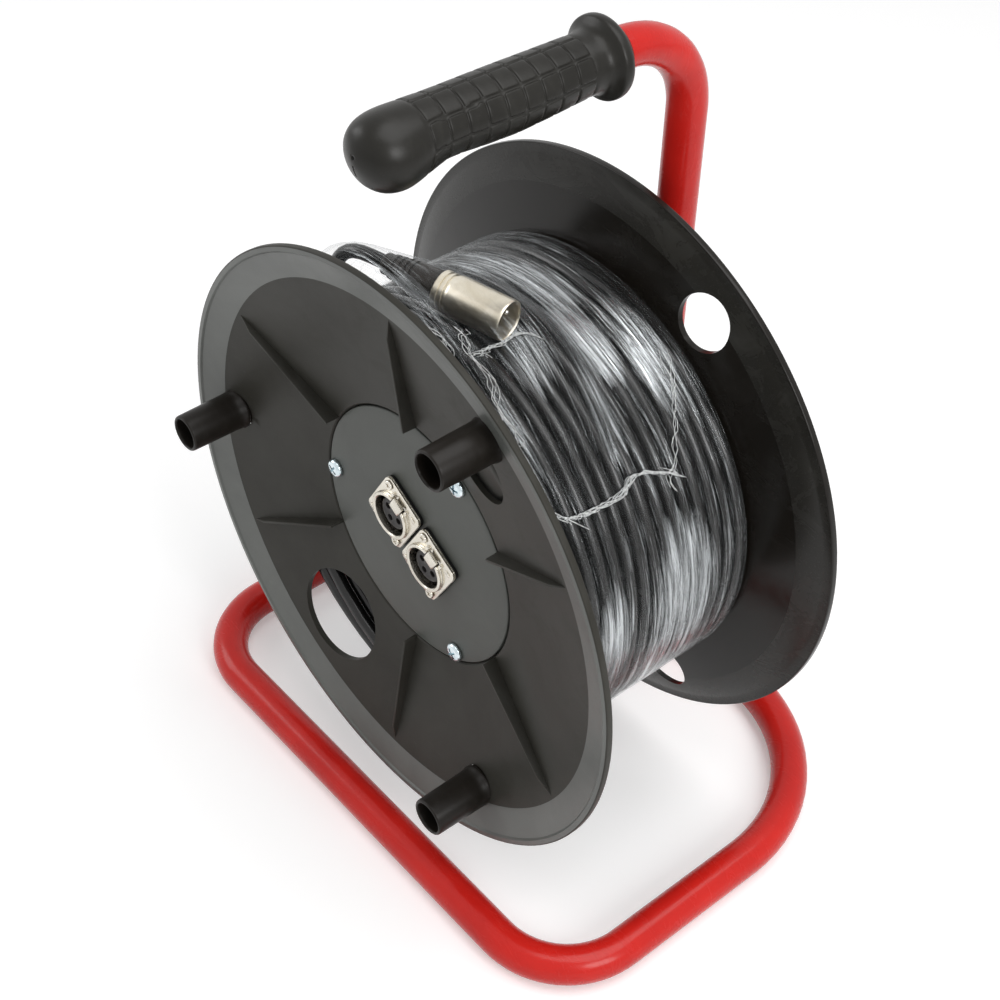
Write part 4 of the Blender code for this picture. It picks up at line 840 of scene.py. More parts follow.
def buildHubPlate():
    top = halfWidth - plateDepth
    low = top - hub["plateThick"]
    rim = hub["plateRadius"]
    rings = [(onAxis, low), (rim - 0.0003, low), (rim, low + 0.0003), (rim, top - 0.0005)]
    rings += arcRings((rim - 0.0005, top - 0.0005), 0.0005, 0, 90, 4)
    rings += [(rim - 0.004, top), (onAxis, top)]
    item = turnRings("hub_cover_plate", rings, 128)
    for angle in holes["posts"]:
        cutWith(item, addCylinder("tool", 0.0023, low - 0.01, top + 0.01, polar(holes["screwCircle"], angle), 24))
    for side in (-0.5, 0.5):
        where = polar(side * socket["pitch"], socket["turn"])
        cutWith(item, addCylinder("tool", 0.0129, low - 0.01, top + 0.01, where, 48))
    smooth(item, 30)
    settle(item, drumPlace)
    dress(item, "plate", "drum", "black_plastic", "hub_plate")


def makePanScrew(name, radius, height, length, shank, recess):
    rings = [(onAxis, -length), (shank * 0.6, -length), (shank, -length + shank * 0.6), (shank, 0.0)]
    rings += [(radius - 0.0001, 0.0), (radius, height * 0.18)]
    rings += arcRings((radius * 0.58, height * 0.18), radius * 0.42, 0, 70, 5)
    rings += [(radius * 0.35, height * 0.98), (onAxis, height)]
    rings = [(r, min(z, height)) for r, z in rings]
    item = turnRings(name, rings, 40)
    smooth(item, 40)
    for turn in (0, 90):
        arm = addBlock("tool", (radius * 1.15, radius * 0.24, height), (0, 0, height * (1.5 - recess)))
        settle(arm, Matrix.Rotation(math.radians(turn + 20), 4, "Z"))
        cutWith(item, arm)
    return item


def buildHubScrews():
    top = halfWidth - plateDepth + 0.0003
    for number, angle in enumerate(holes["posts"], 1):
        item = makePanScrew(f"cover_screw_{number}", hub["headRadius"], hub["headHeight"], 0.014, 0.002, 0.62)
        turn = Matrix.Rotation(math.radians(37 * number), 4, "Z")
        settle(item, drumPlace @ Matrix.Translation((*polar(holes["screwCircle"], angle), top)) @ turn)
        dress(item, "zinc", "drum", "zinc", f"hub_screw_{number}")
    seat = halfWidth - flange["recessDepth"] + 0.0003
    for number, angle in enumerate(holes["posts"], 1):
        item = makePanScrew(f"back_screw_{number}", hub["headRadius"], hub["headHeight"], 0.014, 0.002, 0.62)
        turn = Matrix.Rotation(math.radians(51 * number), 4, "Z")
        settle(item, rearPlace @ Matrix.Translation((*polar(holes["screwCircle"], -angle), seat)) @ turn)
        dress(item, "zinc", "drum", "zinc", f"rear_screw_{number}")
    print("hub built")


# panel sockets
socket = {
    "pitch": 0.0276,
    "turn": -30.0,
    "width": 0.026,
    "height": 0.031,
    "corner": 0.0034,
    "gasket": 0.0009,
    "gap": 0.0003,
    "flange": 0.0016,
    "bore": 0.0099,
    "boreDrop": 0.0018,
    "ring": 0.0118,
    "ringRise": 0.0019,
    "body": 0.0126,
    "bodyLength": 0.0220,
    "face": 0.0078,
    "faceDepth": 0.0006,
    "contactCircle": 0.0042,
    "contactHole": 0.00165,
    "fixing": (0.0095, 0.0120),
}


def roundedBlock(name, width, height, corner, low, high, soft):
    item = addBlock(name, (width, height, high - low), (0, 0, (low + high) / 2))
    editOn(item)
    pick(item, "EDGE", lambda e: abs(e.verts[0].co.z - e.verts[1].co.z) > (high - low) / 2)
    bpy.ops.mesh.bevel(offset=corner, segments=8, affect="EDGES")
    editOff()
    edgeBevel(item, soft, 2, 60)
    return item


def socketPlace(number):
    spot = polar((number - 1.5) * socket["pitch"], socket["turn"])
    top = halfWidth - plateDepth
    return drumPlace @ Matrix.Translation((*spot, top)) @ Matrix.Rotation(math.radians(socket["turn"]), 4, "Z")


def makeSocketShell(number):
    spec = socket
    seat = spec["gasket"] + 2 * spec["gap"]
    face = seat + spec["flange"]
    middle = seat + spec["flange"] * 0.5
    base = roundedBlock("base", spec["width"], spec["height"], spec["corner"], seat, middle - 0.00012, 0.0001)
    neck = roundedBlock(
        "neck", spec["width"] - 0.0009, spec["height"] - 0.0009, spec["corner"], middle - 0.0003, middle + 0.0003, 0.00005
    )
    cover = roundedBlock("cover", spec["width"], spec["height"], spec["corner"], middle + 0.00012, face, 0.00022)
    shell = joinAll(f"panel_socket_{number}", [base, neck, cover])
    low = face - spec["bodyLength"]
    hole = (0.0, -spec["boreDrop"])
    cutWith(shell, addCylinder("tool", spec["bore"] + 0.0004, low - 0.01, face + 0.01, hole, 72))
    smooth(shell, 35)
    # body and raised collar round the mouth
    rings = [(spec["bore"], low), (0.0108, low), (0.0108, seat + 0.0003), (spec["ring"], seat + 0.0003)]
    rings += [(spec["ring"], face + 0.0002), (spec["ring"] - 0.0002, face + 0.0005)]
    rings += arcRings((spec["ring"] - 0.0006, face + spec["ringRise"] - 0.0005), 0.0005, 0, 90, 4)
    rings += [(spec["bore"] + 0.0004, face + spec["ringRise"]), (spec["bore"], face + spec["ringRise"] - 0.0004)]
    collar = turnRings("collar", rings, 80)
    smooth(collar, 35)
    settle(collar, Matrix.Translation((*hole, 0)))
    # keyway under the release tab
    slotTop = addBlock("tool", (0.0076, 0.0080, 0.012), (0.0, 0.0102 - spec["boreDrop"], face + 0.0044))
    cutWith(collar, slotTop)
    slotTop = addBlock("tool", (0.0076, 0.0090, 0.006), (0.0, 0.0100 - spec["boreDrop"], face + 0.0018))
    cutWith(shell, slotTop)
    well = addBlock("tool", (0.0054, 0.0022, 0.02), (0.0, 0.0124 - spec["boreDrop"], face))
    cutWith(shell, well)
    # small moulded nubs and ledges on the face
    extras = []
    for x, y, wide, tall, rise in (
        (-0.0098, -0.0126, 0.0022, 0.0014, 0.0005),
        (-0.0070, -0.0136, 0.0016, 0.0010, 0.0006),
        (0.0092, 0.0118, 0.0030, 0.0018, 0.0004),
        (0.0, -0.0142, 0.0060, 0.0008, 0.0004),
    ):
        nub = addBlock("nub", (wide, tall, rise + 0.0006), (x, y, face + rise / 2 - 0.0002))
        edgeBevel(nub, 0.0002, 2, 30)
        smooth(nub, 40)
        extras.append(nub)
    for side in (-1, 1):
        cheek = addBlock("cheek", (0.0016, 0.0052, 0.0016), (side * 0.0050, 0.0110 - spec["boreDrop"], face + 0.0004))
        edgeBevel(cheek, 0.0003, 2, 30)
        smooth(cheek, 40)
        extras.append(cheek)
    shell = joinAll(f"panel_socket_{number}", [shell, collar, *extras])
    settle(shell, socketPlace(number))
    return dress(shell, "socket", "drum", "nickel", f"socket_shell_{number}")


def makeReleaseTab(number):
    spec = socket
    face = spec["gasket"] + 2 * spec["gap"] + spec["flange"]
    y = 0.01015 - spec["boreDrop"]
    blade = addBlock("blade", (0.0066, 0.0067, 0.0011), (0.0, y, face + 0.00155))
    editOn(blade)
    pick(blade, "FACE", lambda f: f.normal.z > 0.9)
    bpy.ops.mesh.inset(thickness=0.0007)
    bpy.ops.transform.translate(value=(0, 0.0004, 0.00028))
    editOff()
    edgeBevel(blade, 0.00022, 2, 30)
    smooth(blade, 40)
    leg = addBlock("leg", (0.0046, 0.0014, 0.0068), (0.0, 0.0124 - spec["boreDrop"], face - 0.0021))
    edgeBevel(leg, 0.0002, 1, 30)
    smooth(leg, 40)
    tab = joinAll(f"latch_tab_{number}", [blade, leg])
    settle(tab, socketPlace(number))
    return dress(tab, "socket", f"tab_{number}", "nickel", f"release_tab_{number}")


def makeSocketInsert(number):
    spec = socket
    face = spec["gasket"] + 2 * spec["gap"] + spec["flange"]
    top = face - spec["faceDepth"]
    foot = face - spec["bodyLength"] + 0.001
    r = spec["face"]
    rings = [(onAxis, foot), (spec["bore"] - 0.0003, foot), (spec["bore"] - 0.0003, foot + 0.003), (r, foot + 0.003)]
    rings += [(r, top - 0.0006)]
    rings += arcRings((r - 0.0005, top - 0.0005), 0.0005, 0, 90, 4)
    rings += [(r - 0.0016, top), (r - 0.0018, top - 0.0001), (onAxis, top - 0.0001)]
    insert = turnRings(f"socket_face_{number}", rings, 64)
    for angle in (-90.0, 180.0, 0.0):
        spot = polar(spec["contactCircle"], angle)
        cutWith(insert, addCylinder("tool", spec["contactHole"], foot - 0.01, face, spot, 32))
    smooth(insert, 35)
    settle(insert, socketPlace(number) @ Matrix.Translation((0, -spec["boreDrop"], 0)))
    return dress(insert, "insert", "drum", "insert_plastic", f"socket_insert_{number}")


def makeSocketFixings(number):
    spec = socket
    face = spec["gasket"] + 2 * spec["gap"] + spec["flange"]
    for letter, sign in zip("ab", (-1, 1)):
        item = makePanScrew(f"socket_screw_{number}{letter}", 0.0024, 0.0008, 0.006, 0.0014, 0.75)
        spot = Vector((-sign * spec["fixing"][0], sign * spec["fixing"][1], face + 0.0003))
        turn = Matrix.Rotation(math.radians(25 * number + 60 * sign), 4, "Z")
        settle(item, socketPlace(number) @ Matrix.Translation(spot) @ turn)
        dress(item, "socket", "drum", "nickel", f"socket_fixing_{number}{letter}")


def buildSockets():
    for number in (1, 2):
        makeSocketShell(number)
        makeReleaseTab(number)
        makeSocketInsert(number)
        makeSocketFixings(number)
    print("sockets built")


# the stand
def bend(centre, start, side, steps):
    found = []
    for count in range(steps + 1):
        angle = math.pi / 2 * count / steps
        found.append(centre + start * math.cos(angle) + side * math.sin(angle))
    return found


def buildStand():
    spanX, spanY, lift = tube["spanX"], tube["spanY"], tube["radius"]
    route = []
    for sx, sy, size in ((1, -1, "frontBend"), (1, 1, "rearBend"), (-1, 1, "rearBend"), (-1, -1, "frontBend")):
        radius = tube[size]
        centre = Vector((sx * (spanX - radius), sy * (spanY - radius), lift))
        along, across = Vector((0, sy * radius, 0)), Vector((sx * radius, 0, 0))
        route += bend(centre, along, across, 18) if sx * sy < 0 else bend(centre, across, along, 18)
    loop = tubeCurve("stand_floor_loop", route, lift, True)
    dress(loop, "paint", "frame", "red_paint", "floor_loop")

    top, back, radius = tube["top"], tube["upright"], tube["handleBend"]
    route = [Vector((0, gripLow.y + 0.02, top))]
    route += bend(Vector((0, back - radius, top - radius)), Vector((0, 0, radius)), Vector((0, radius, 0)), 20)
    route += [Vector((0, back, 0.0006))]
    handle = tubeCurve("stand_handle", route, tube["radius"], False)
    dress(handle, "paint", "frame", "red_paint", "handle_tube")
    print("stand built")


# the two cables, each one line from its lead hole in the barrel to its plug
cable = {
    "radius": 0.0032,
    "outer": 0.1018,           # line of the outer layer
    "ride": 0.1088,            # line of the tails that lie on it
    "layerStep": 0.0065,
    "halves": (0.048899, 0.0483, 0.0469, 0.0455, 0.0441, 0.0428),
    "lanes": (15, 15, 14, 14, 13, 13),
    "startAngles": (205.0, 325.0),
    "climb": 38.0,
    "landArc": 51.0,
    "shiftArc": 24.0,
    "change": 60.0,
    "leadAngle": 120.0,
    "leads": (0.034, 0.024),
    "seat": 0.0003,
    "lengths": (20.1, 20.1),
}
plug = {
    "touch": (88.0, 193.0),
    "places": ((-0.0450, 0.0303, -15.2), (-0.0470, 0.0020, -9.0)),
    "radius": 0.0090,
    "rear": 0.0086,
    "length": 0.0340,
    "bore": 0.0081,
    "boreDepth": 0.0195,
    "boot": 0.0280,
    "bootRadius": 0.0072,
    "bootEnd": 0.0048,
    "pin": 0.0012,
    "pinCircle": 0.0040,
    "pinRecess": 0.0030,
}


def onDrum(radius, degrees, height):
    return Vector((*polar(radius, degrees), height))


def easeShare(value):
    value = min(max(value, 0.0), 1.0)
    return value * value * (3.0 - 2.0 * value)


def plugLine(number):
    along, across, swing = plug["places"][number - 1]
    angle = plug["touch"][number - 1]
    foot = onDrum(cable["outer"] + cable["radius"] + plug["radius"] + 0.0005, angle, 0.0)
    level = onDrum(1.0, angle - 90.0, 0.0)
    tilt = math.radians(swing)
    axis = (level * math.cos(tilt) + Vector((0, 0, math.sin(tilt)))).normalized()
    start = foot + level * along
    start.z = across
    return start, axis


def laneHeight(number, degrees):
    turned = (degrees - cable["startAngles"][0]) / 360.0
    half = cable["halves"][0]
    return half - (number - 1 + 2 * turned) * 2 * half / (cable["lanes"][0] - 1)


# from the plug back over the pack and down into the first lane
def tailRoute(number):
    begin, axis = plugLine(number)
    start = cable["startAngles"][number - 1]
    land = plug["touch"][number - 1] + cable["landArc"]
    shift = plug["touch"][number - 1] + cable["shiftArc"]
    exitPoint = begin - axis * cable["seat"]
    straight = exitPoint - axis * 2.2 * cable["radius"]
    climb = start - cable["climb"]
    lane = laneHeight(number, start)
    landing = onDrum(cable["ride"], land, 0.0)
    share = easeShare((land - shift) / (climb - shift))
    landing.z = begin.z + (lane - begin.z) * share
    leave = onDrum(1.0, land + 90.0, 0.0)
    leave.z = (lane - begin.z) * 0.9 / (math.radians(climb - shift) * cable["ride"])
    leave.normalize()
    reach = 0.45 * (landing - straight).length
    route = [exitPoint]
    for count in range(14):
        t = count / 14
        first, second = straight * (1 - t) ** 3, (straight - axis * reach) * 3 * t * (1 - t) ** 2
        route.append(first + second + (landing - leave * reach) * 3 * t * t * (1 - t) + landing * t ** 3)
    degrees = land
    while degrees < start - 1.0:
        share = easeShare((degrees - shift) / (climb - shift))
        target = min(laneHeight(number, degrees), laneHeight(number, cable["startAngles"][0]))
        drop = easeShare((degrees - climb) / cable["climb"])
        radius = cable["ride"] + (cable["outer"] - cable["ride"]) * drop
        route.append(onDrum(radius, degrees, begin.z + (target - begin.z) * share))
        degrees += 5.0
    return route


# layer after layer inwards, turning back at each flange, then to the lead hole
def woundRoute(number):
    route = []
    degrees = cable["startAngles"][number - 1]
    layerStart = cable["startAngles"][0]
    last = len(cable["lanes"]) - 1
    lead = cable["leads"][number - 1]
    for layer, (half, lanes) in enumerate(zip(cable["halves"], cable["lanes"])):
        radius = cable["outer"] - layer * cable["layerStep"]
        forward = 1 if layer % 2 == 0 else -1
        offset = number - 1 if forward > 0 else 2 - number
        turns = 180.0 * (lanes - 2)
        if layer == last:
            turns -= (layerStart + turns - cable["leadAngle"]) % 360.0
        step = 6.0 if layer == 0 else 10.0
        while degrees <= layerStart + turns + 0.01:
            place = (offset + 2 * (degrees - layerStart) / 360.0) * 2 * half / (lanes - 1)
            height = forward * (half - place)
            if layer == last:
                share = easeShare((degrees - (layerStart + turns - 100.0)) / 90.0)
                height += (lead - height) * share
            route.append(onDrum(radius, degrees, height))
            degrees += step
        layerEnd = layerStart + turns
        layerStart = layerEnd + cable["change"]
        if layer < last:
            nextHalf, nextLanes = cable["halves"][layer + 1], cable["lanes"][layer + 1]
            ending = forward * (half - (offset + lanes - 2) * 2 * half / (lanes - 1))
            starting = -forward * (nextHalf - (1 - offset) * 2 * nextHalf / (nextLanes - 1))
            count = 8
            for index in range(1, count):
                share = easeShare(index / count)
                height = ending + (starting - ending) * share
                at = layerEnd + cable["change"] * index / count
                route.append(onDrum(radius - cable["layerStep"] * share, at, height))
            degrees = layerStart
    route.append(onDrum(0.0684, cable["leadAngle"] - 3.0, lead))
    route.append(onDrum(0.0668, cable["leadAngle"], lead))
    return route


def buildCables():
    for number in (1, 2):
        route = tailRoute(number) + woundRoute(number)
        route = [drumPlace @ point for point in reversed(route)]
        length = sum((b - a).length for a, b in zip(route, route[1:]))
        item = tubeCurve(f"wound_cable_{number}", route, cable["radius"], False, 6)
        dress(item, "cable", "drum", "cable_jacket", f"cable_winding_{number}")
        print(f"cable {number}: {length:.2f} m, {len(route)} points")
    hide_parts("cable_core")


# plugs on the cables' ends
def plugPlace(number):
    begin, axis = plugLine(number)
    turn = Vector((0, 0, 1)).rotation_difference(axis)
    return drumPlace @ Matrix.Translation(begin) @ turn.to_matrix().to_4x4()


def makePlugShell(number):
    rear, mouth = plug["boot"] + 0.0003, plug["boot"] + plug["length"]
    floor = mouth - plug["boreDepth"]
    r = plug["radius"]
    rings = [(0.0064, rear), (plug["rear"] - 0.0006, rear), (plug["rear"], rear + 0.0006)]
    for groove in (rear + 0.0034, rear + 0.0058):
        rings += [(plug["rear"], groove - 0.0007), (plug["rear"] - 0.0006, groove - 0.0004)]
        rings += [(plug["rear"] - 0.0006, groove + 0.0004), (plug["rear"], groove + 0.0007)]
    rings += [(r - 0.0001, rear + 0.0074), (r, rear + 0.0078), (r, mouth - 0.0060)]
    rings += [(r, mouth - 0.0012), (r - 0.0001, mouth - 0.0003), (r - 0.0003, mouth)]
    rings += [(plug["bore"] + 0.0003, mouth), (plug["bore"] + 0.00005, mouth - 0.0003)]
    rings += [(plug["bore"], mouth - 0.0010), (plug["bore"], floor), (0.0064, floor)]
    item = turnRings(f"cable_plug_shell_{number}", rings, 72)
    smooth(item, 40)
    settle(item, plugPlace(number))
    return dress(item, "shell", "drum", "nickel", f"plug_shell_{number}")


def makePlugBoot(number):
    end, wide, long = plug["bootEnd"], plug["bootRadius"], plug["boot"]
    rings = [(0.0034, 0.0), (end - 0.0005, 0.0), (end, 0.0006), (end, 0.0022)]
    for count in range(5):
        low = 0.0030 + count * 0.0030
        size = end + (wide - end) * (low / 0.0190)
        rings += [(size - 0.0008, low), (size - 0.0008, low + 0.0008), (size + 0.0002, low + 0.0011)]
        rings += [(size + 0.0004, low + 0.0026)]
    rings += [(wide - 0.0002, 0.0186), (wide, 0.0196), (wide, long - 0.0010), (wide - 0.0004, long)]
    rings += [(0.0058, long), (0.0058, long + 0.0078), (0.0034, long + 0.0078)]
    item = turnRings(f"cable_plug_boot_{number}", rings, 48)
    smooth(item, 50)
    settle(item, plugPlace(number))
    return dress(item, "boot", "drum", "grip_rubber", f"plug_boot_{number}")


def makePlugInside(number):
    mouth = plug["boot"] + plug["length"]
    low = mouth - plug["boreDepth"] + 0.0003
    high = low + 0.0050
    r = plug["bore"] - 0.0003
    rings = [(onAxis, low), (r, low), (r, high - 0.0005), (r - 0.0004, high), (0.0066, high)]
    rings += [(0.0062, high - 0.0006), (onAxis, high - 0.0006)]
    face = turnRings(f"cable_plug_insert_{number}", rings, 56)
    for angle in (90.0, 0.0, 180.0):
        cutWith(face, addCylinder("tool", plug["pin"] + 0.0002, low - 0.01, high + 0.01, polar(plug["pinCircle"], angle), 20))
    smooth(face, 40)
    settle(face, plugPlace(number))
    dress(face, "insert", "drum", "insert_plastic", f"plug_insert_{number}")
    tip, foot = mouth - plug["pinRecess"], plug["boot"] + 0.0083
    size = plug["pin"]
    rings = [(onAxis, foot), (size, foot), (size, tip - 0.0012)]
    rings += arcRings((0.0, tip - size), size, 12, 84, 5)
    rings += [(onAxis, tip)]
    pins = []
    for angle in (90.0, 0.0, 180.0):
        pin = turnRings("pin", rings, 24)
        settle(pin, Matrix.Translation((*polar(plug["pinCircle"], angle), 0)))
        pins.append(pin)
    pins = joinAll(f"cable_plug_pin_{number}", pins)
    smooth(pins, 50)
    settle(pins, plugPlace(number))
    dress(pins, "contact", "drum", "contact", *[f"plug_pin_{number}{letter}" for letter in "abc"])


def buildPlugs():
    for number in (1, 2):
        makePlugShell(number)
        makePlugBoot(number)
        makePlugInside(number)
    print("plugs built")


# the grip: rings drawn out along the handle, then the blocks raised between their grooves
grip = {
    "stations": (
        (0.0000, 0.0008, 0.0008), (0.0008, 0.0050, 0.0050), (0.0030, 0.0100, 0.0098), (0.0050, 0.0118, 0.0124),
        (0.0075, 0.0132, 0.0145), (0.0100, 0.0141, 0.0160), (0.0135, 0.0147, 0.0170), (0.0170, 0.0149, 0.0173),
        (0.0205, 0.0149, 0.0168), (0.0240, 0.0148, 0.0158), (0.0300, 0.0147, 0.0140), (0.0370, 0.0145, 0.0122),
        (0.0450, 0.0143, 0.0124), (0.0580, 0.0140, 0.0135), (0.0720, 0.0137, 0.0142), (0.0880, 0.0133, 0.0137),
        (0.1080, 0.0129, 0.0128), (0.1130, 0.0129, 0.0129), (0.1155, 0.0133, 0.0133), (0.1172, 0.0144, 0.0144),
        (0.1184, 0.0160, 0.0160), (0.1192, 0.0172, 0.0172), (0.1198, 0.0177, 0.0177), (0.1215, 0.0179, 0.0179),
        (0.1232, 0.0177, 0.0177), (0.1246, 0.0168, 0.0168), (0.1256, 0.0150, 0.0150), (0.1266, 0.0136, 0.0136),
        (0.1290, 0.0124, 0.0124),
    ),
    "firstBlock": 0.0270,
    "blockLong": 0.0082,
    "groove": 0.0009,
    "rows": 9,
    "columns": 8,
    "across": 10,              # faces from one long groove to the next
    "depth": 0.0006,
}


def gripSize(along):
    table = grip["stations"]
    for (a, up, down), (b, nextUp, nextDown) in zip(table, table[1:]):
        if a <= along <= b:
            share = (along - a) / (b - a)
            return up + (nextUp - up) * share, down + (nextDown - down) * share
    return table[-1][1:]


def buildGrip():
    pitch = grip["blockLong"] + grip["groove"]
    blockEnd = grip["firstBlock"] + grip["rows"] * pitch
    places = [s[0] for s in grip["stations"] if s[0] < grip["firstBlock"] - 0.002 or s[0] > blockEnd + 0.002]
    for row in range(grip["rows"]):
        low = grip["firstBlock"] + row * pitch
        places += [low + grip["blockLong"] * part / 3 for part in range(4)]
    places += [grip["firstBlock"] - grip["groove"], blockEnd]
    places.sort()
    steps = grip["columns"] * grip["across"]
    deselectAll()
    up, down = gripSize(places[0])
    bpy.ops.mesh.primitive_circle_add(vertices=steps, radius=(up + down) / 2, location=(0, 0, places[0]), fill_type="NGON")
    item = takeNew("rubber_grip")
    settle(item)
    bpy.ops.object.mode_set(mode="EDIT")
    bpy.ops.mesh.select_all(action="SELECT")
    size, lift, before = (up + down) / 2, 0.0, places[0]
    for along in places[1:]:
        up, down = gripSize(along)
        if grip["firstBlock"] - grip["groove"] / 2 < along < blockEnd - grip["groove"] / 2:
            up, down = up - grip["depth"], down - grip["depth"]
        nextSize, nextLift = (up + down) / 2, (up - down) / 2
        move = (0, nextLift - lift, along - before)
        bpy.ops.mesh.extrude_region_move(TRANSFORM_OT_translate={"value": move})
        scale = nextSize / size
        bpy.ops.transform.resize(value=(scale, scale, 1.0), center_override=(0, nextLift, along))
        size, lift, before = nextSize, nextLift, along
    # back wall and the bore that takes the tube
    end, bore = places[-1], tube["radius"] + 0.0003
    boreEnd = 0.018
    bpy.ops.mesh.extrude_region_move(TRANSFORM_OT_translate={"value": (0, -lift, 0)})
    bpy.ops.transform.resize(value=(bore / size, bore / size, 1.0), center_override=(0, 0, end))
    bpy.ops.mesh.extrude_region_move(TRANSFORM_OT_translate={"value": (0, 0, boreEnd - end)})
    bpy.ops.mesh.select_all(action="SELECT")
    bpy.ops.mesh.remove_doubles(threshold=0.00001)
    bpy.ops.mesh.normals_make_consistent(inside=False)
    turn = 360.0 / steps

    def onBlock(face):
        centre = face.calc_center_median()
        if abs(face.normal.z) > 0.7 or math.hypot(centre.x, centre.y) < bore + 0.0005:
            return False
        row = (centre.z - grip["firstBlock"]) / pitch
        if row < 0 or row > grip["rows"] or (row % 1.0) * pitch > grip["blockLong"]:
            return False
        column = int((math.degrees(math.atan2(centre.y, centre.x)) % 360.0) / turn)
        return (column + 1) % grip["across"] != 0

    pick(item, "FACE", onBlock)
    bpy.ops.mesh.inset(thickness=0.00016, depth=grip["depth"])
    bpy.ops.mesh.inset(thickness=0.0003, depth=0.00008)
    editOff()
    step = item.modifiers.new("round", "SUBSURF")
    step.levels = 1
    step.render_levels = 1
    applyModifiers(item)
    # vent hole and mould slit at the tip
    cutWith(item, addCylinder("tool", 0.0010, -0.004, 0.003, (0.0, 0.0015), 20))
    cutWith(item, addBlock("tool", (0.0009, 0.0050, 0.006), (0.0, -0.0042, 0.0)))
    makeActive(item)
    bpy.ops.object.shade_smooth()
    # along the handle: Z becomes +Y of the row, the raised side up
    along = Matrix.Translation((0, gripLow.y, tube["top"])) @ Matrix.Rotation(-math.pi / 2, 4, "X") @ Matrix.Rotation(math.pi, 4, "Z")
    settle(item, along)
    dress(item, "grip", "frame", "grip_rubber", "grip")
    print("grip built")


# clear stretch film round the wound pack, drawn tight over the plugs and their tails
film = {
    "radius": 0.1055,
    "half": 0.0515,
    "steps": 300,
    "rings": 64,
    "edgeDrop": 0.0016,
    "tentRound": 0.0060,
    "tentAlong": 0.36,
    "cover": 0.0005,
    "wrinkle": 0.00035,
}
# milky patches, partly real haze and partly painted highlight: angle on the drum, height across it, length along the
# turns, width, strength
hazeAndHighlightPatches = (
    (4.0, -0.0150, 22.0, 0.0170, 1.00),
    (-16.0, -0.0100, 16.0, 0.0220, 0.90),
    (4.0, 0.0270, 14.0, 0.0110, 0.80),
    (72.0, -0.0140, 13.0, 0.0110, 1.10),
    (62.0, -0.0350, 18.0, 0.0110, 0.75),
    (104.0, -0.0160, 15.0, 0.0100, 0.85),
    (91.0, -0.0200, 14.0, 0.0100, 0.90),
    (71.0, 0.0220, 9.0, 0.0090, 0.65),
    (55.0, 0.0010, 14.0, 0.0090, 0.60),
    (190.0, 0.0100, 30.0, 0.0200, 0.75),
    (255.0, -0.0200, 25.0, 0.0180, 0.70),
    (310.0, 0.0150, 28.0, 0.0200, 0.65),
)
# gathered strands: threads, then angle on the drum and height across it, point by point
strands = (
    (9, ((39.1, 0.0406), (38.0, 0.0350), (37.4, 0.0290), (37.0, 0.0200), (36.8, 0.0100), (39.4, 0.0010),
         (38.6, -0.0060), (36.6, -0.0130), (35.1, -0.0197))),
    (3, ((60.5, -0.0405), (52.0, -0.0370), (47.3, -0.0317), (41.8, -0.0250), (37.6, -0.0200), (31.8, -0.0158))),
    (6, ((42.5, 0.0440), (40.0, 0.0400), (37.6, 0.0360), (36.0, 0.0330))),
    (7, ((77.4, 0.0357), (77.0, 0.0310), (76.1, 0.0267), (75.4, 0.0210), (73.8, 0.0171))),
    (5, ((88.0, 0.0440), (82.0, 0.0430), (76.0, 0.0445), (69.0, 0.0440), (62.0, 0.0455), (55.0, 0.0470))),
    (4, ((84.0, 0.0350), (79.0, 0.0380), (72.0, 0.0360), (64.0, 0.0400), (57.0, 0.0420))),
)


def supports():
    found = []
    for number in (1, 2):
        begin, axis = plugLine(number)
        for count in range(24):
            along = count / 23
            point = begin + axis * (plug["boot"] + plug["length"]) * along
            size = plug["bootEnd"] + (plug["radius"] - plug["bootEnd"]) * min(1.0, along / 0.45)
            found.append((point, size))
        for point in tailRoute(number):
            found.append((point, cable["radius"]))
    rows = []
    for point, size in found:
        distance = math.hypot(point.x, point.y)
        if distance + size > film["radius"] + 0.0004:
            rows.append((math.atan2(point.y, point.x), point.z, distance + size + film["cover"]))
    return np.array(rows)


def filmRadius(angle, height, tops):
    turn = (angle - tops[:, 0] + math.pi) % (2 * math.pi) - math.pi
    away = np.hypot(turn * film["radius"] * film["tentAlong"], height - tops[:, 1])
    lift = tops[:, 2] - (np.hypot(away, film["tentRound"]) - film["tentRound"])
    radius = max(film["radius"], float(lift.max()))
    raised = min(1.0, (radius - film["radius"]) / 0.004)
    spot = Vector((math.cos(angle) * 2.2, math.sin(angle) * 2.2, height * 190.0))
    ripple = mathNoise.fractal(spot, 1.0, 2.0, 3)
    radius += film["wrinkle"] * (0.5 + 1.6 * raised) * ripple
    edge = max(0.0, (abs(height) - film["half"] * 0.93) / (film["half"] * 0.07))
    return radius - film["edgeDrop"] * edge * (1.0 - raised)


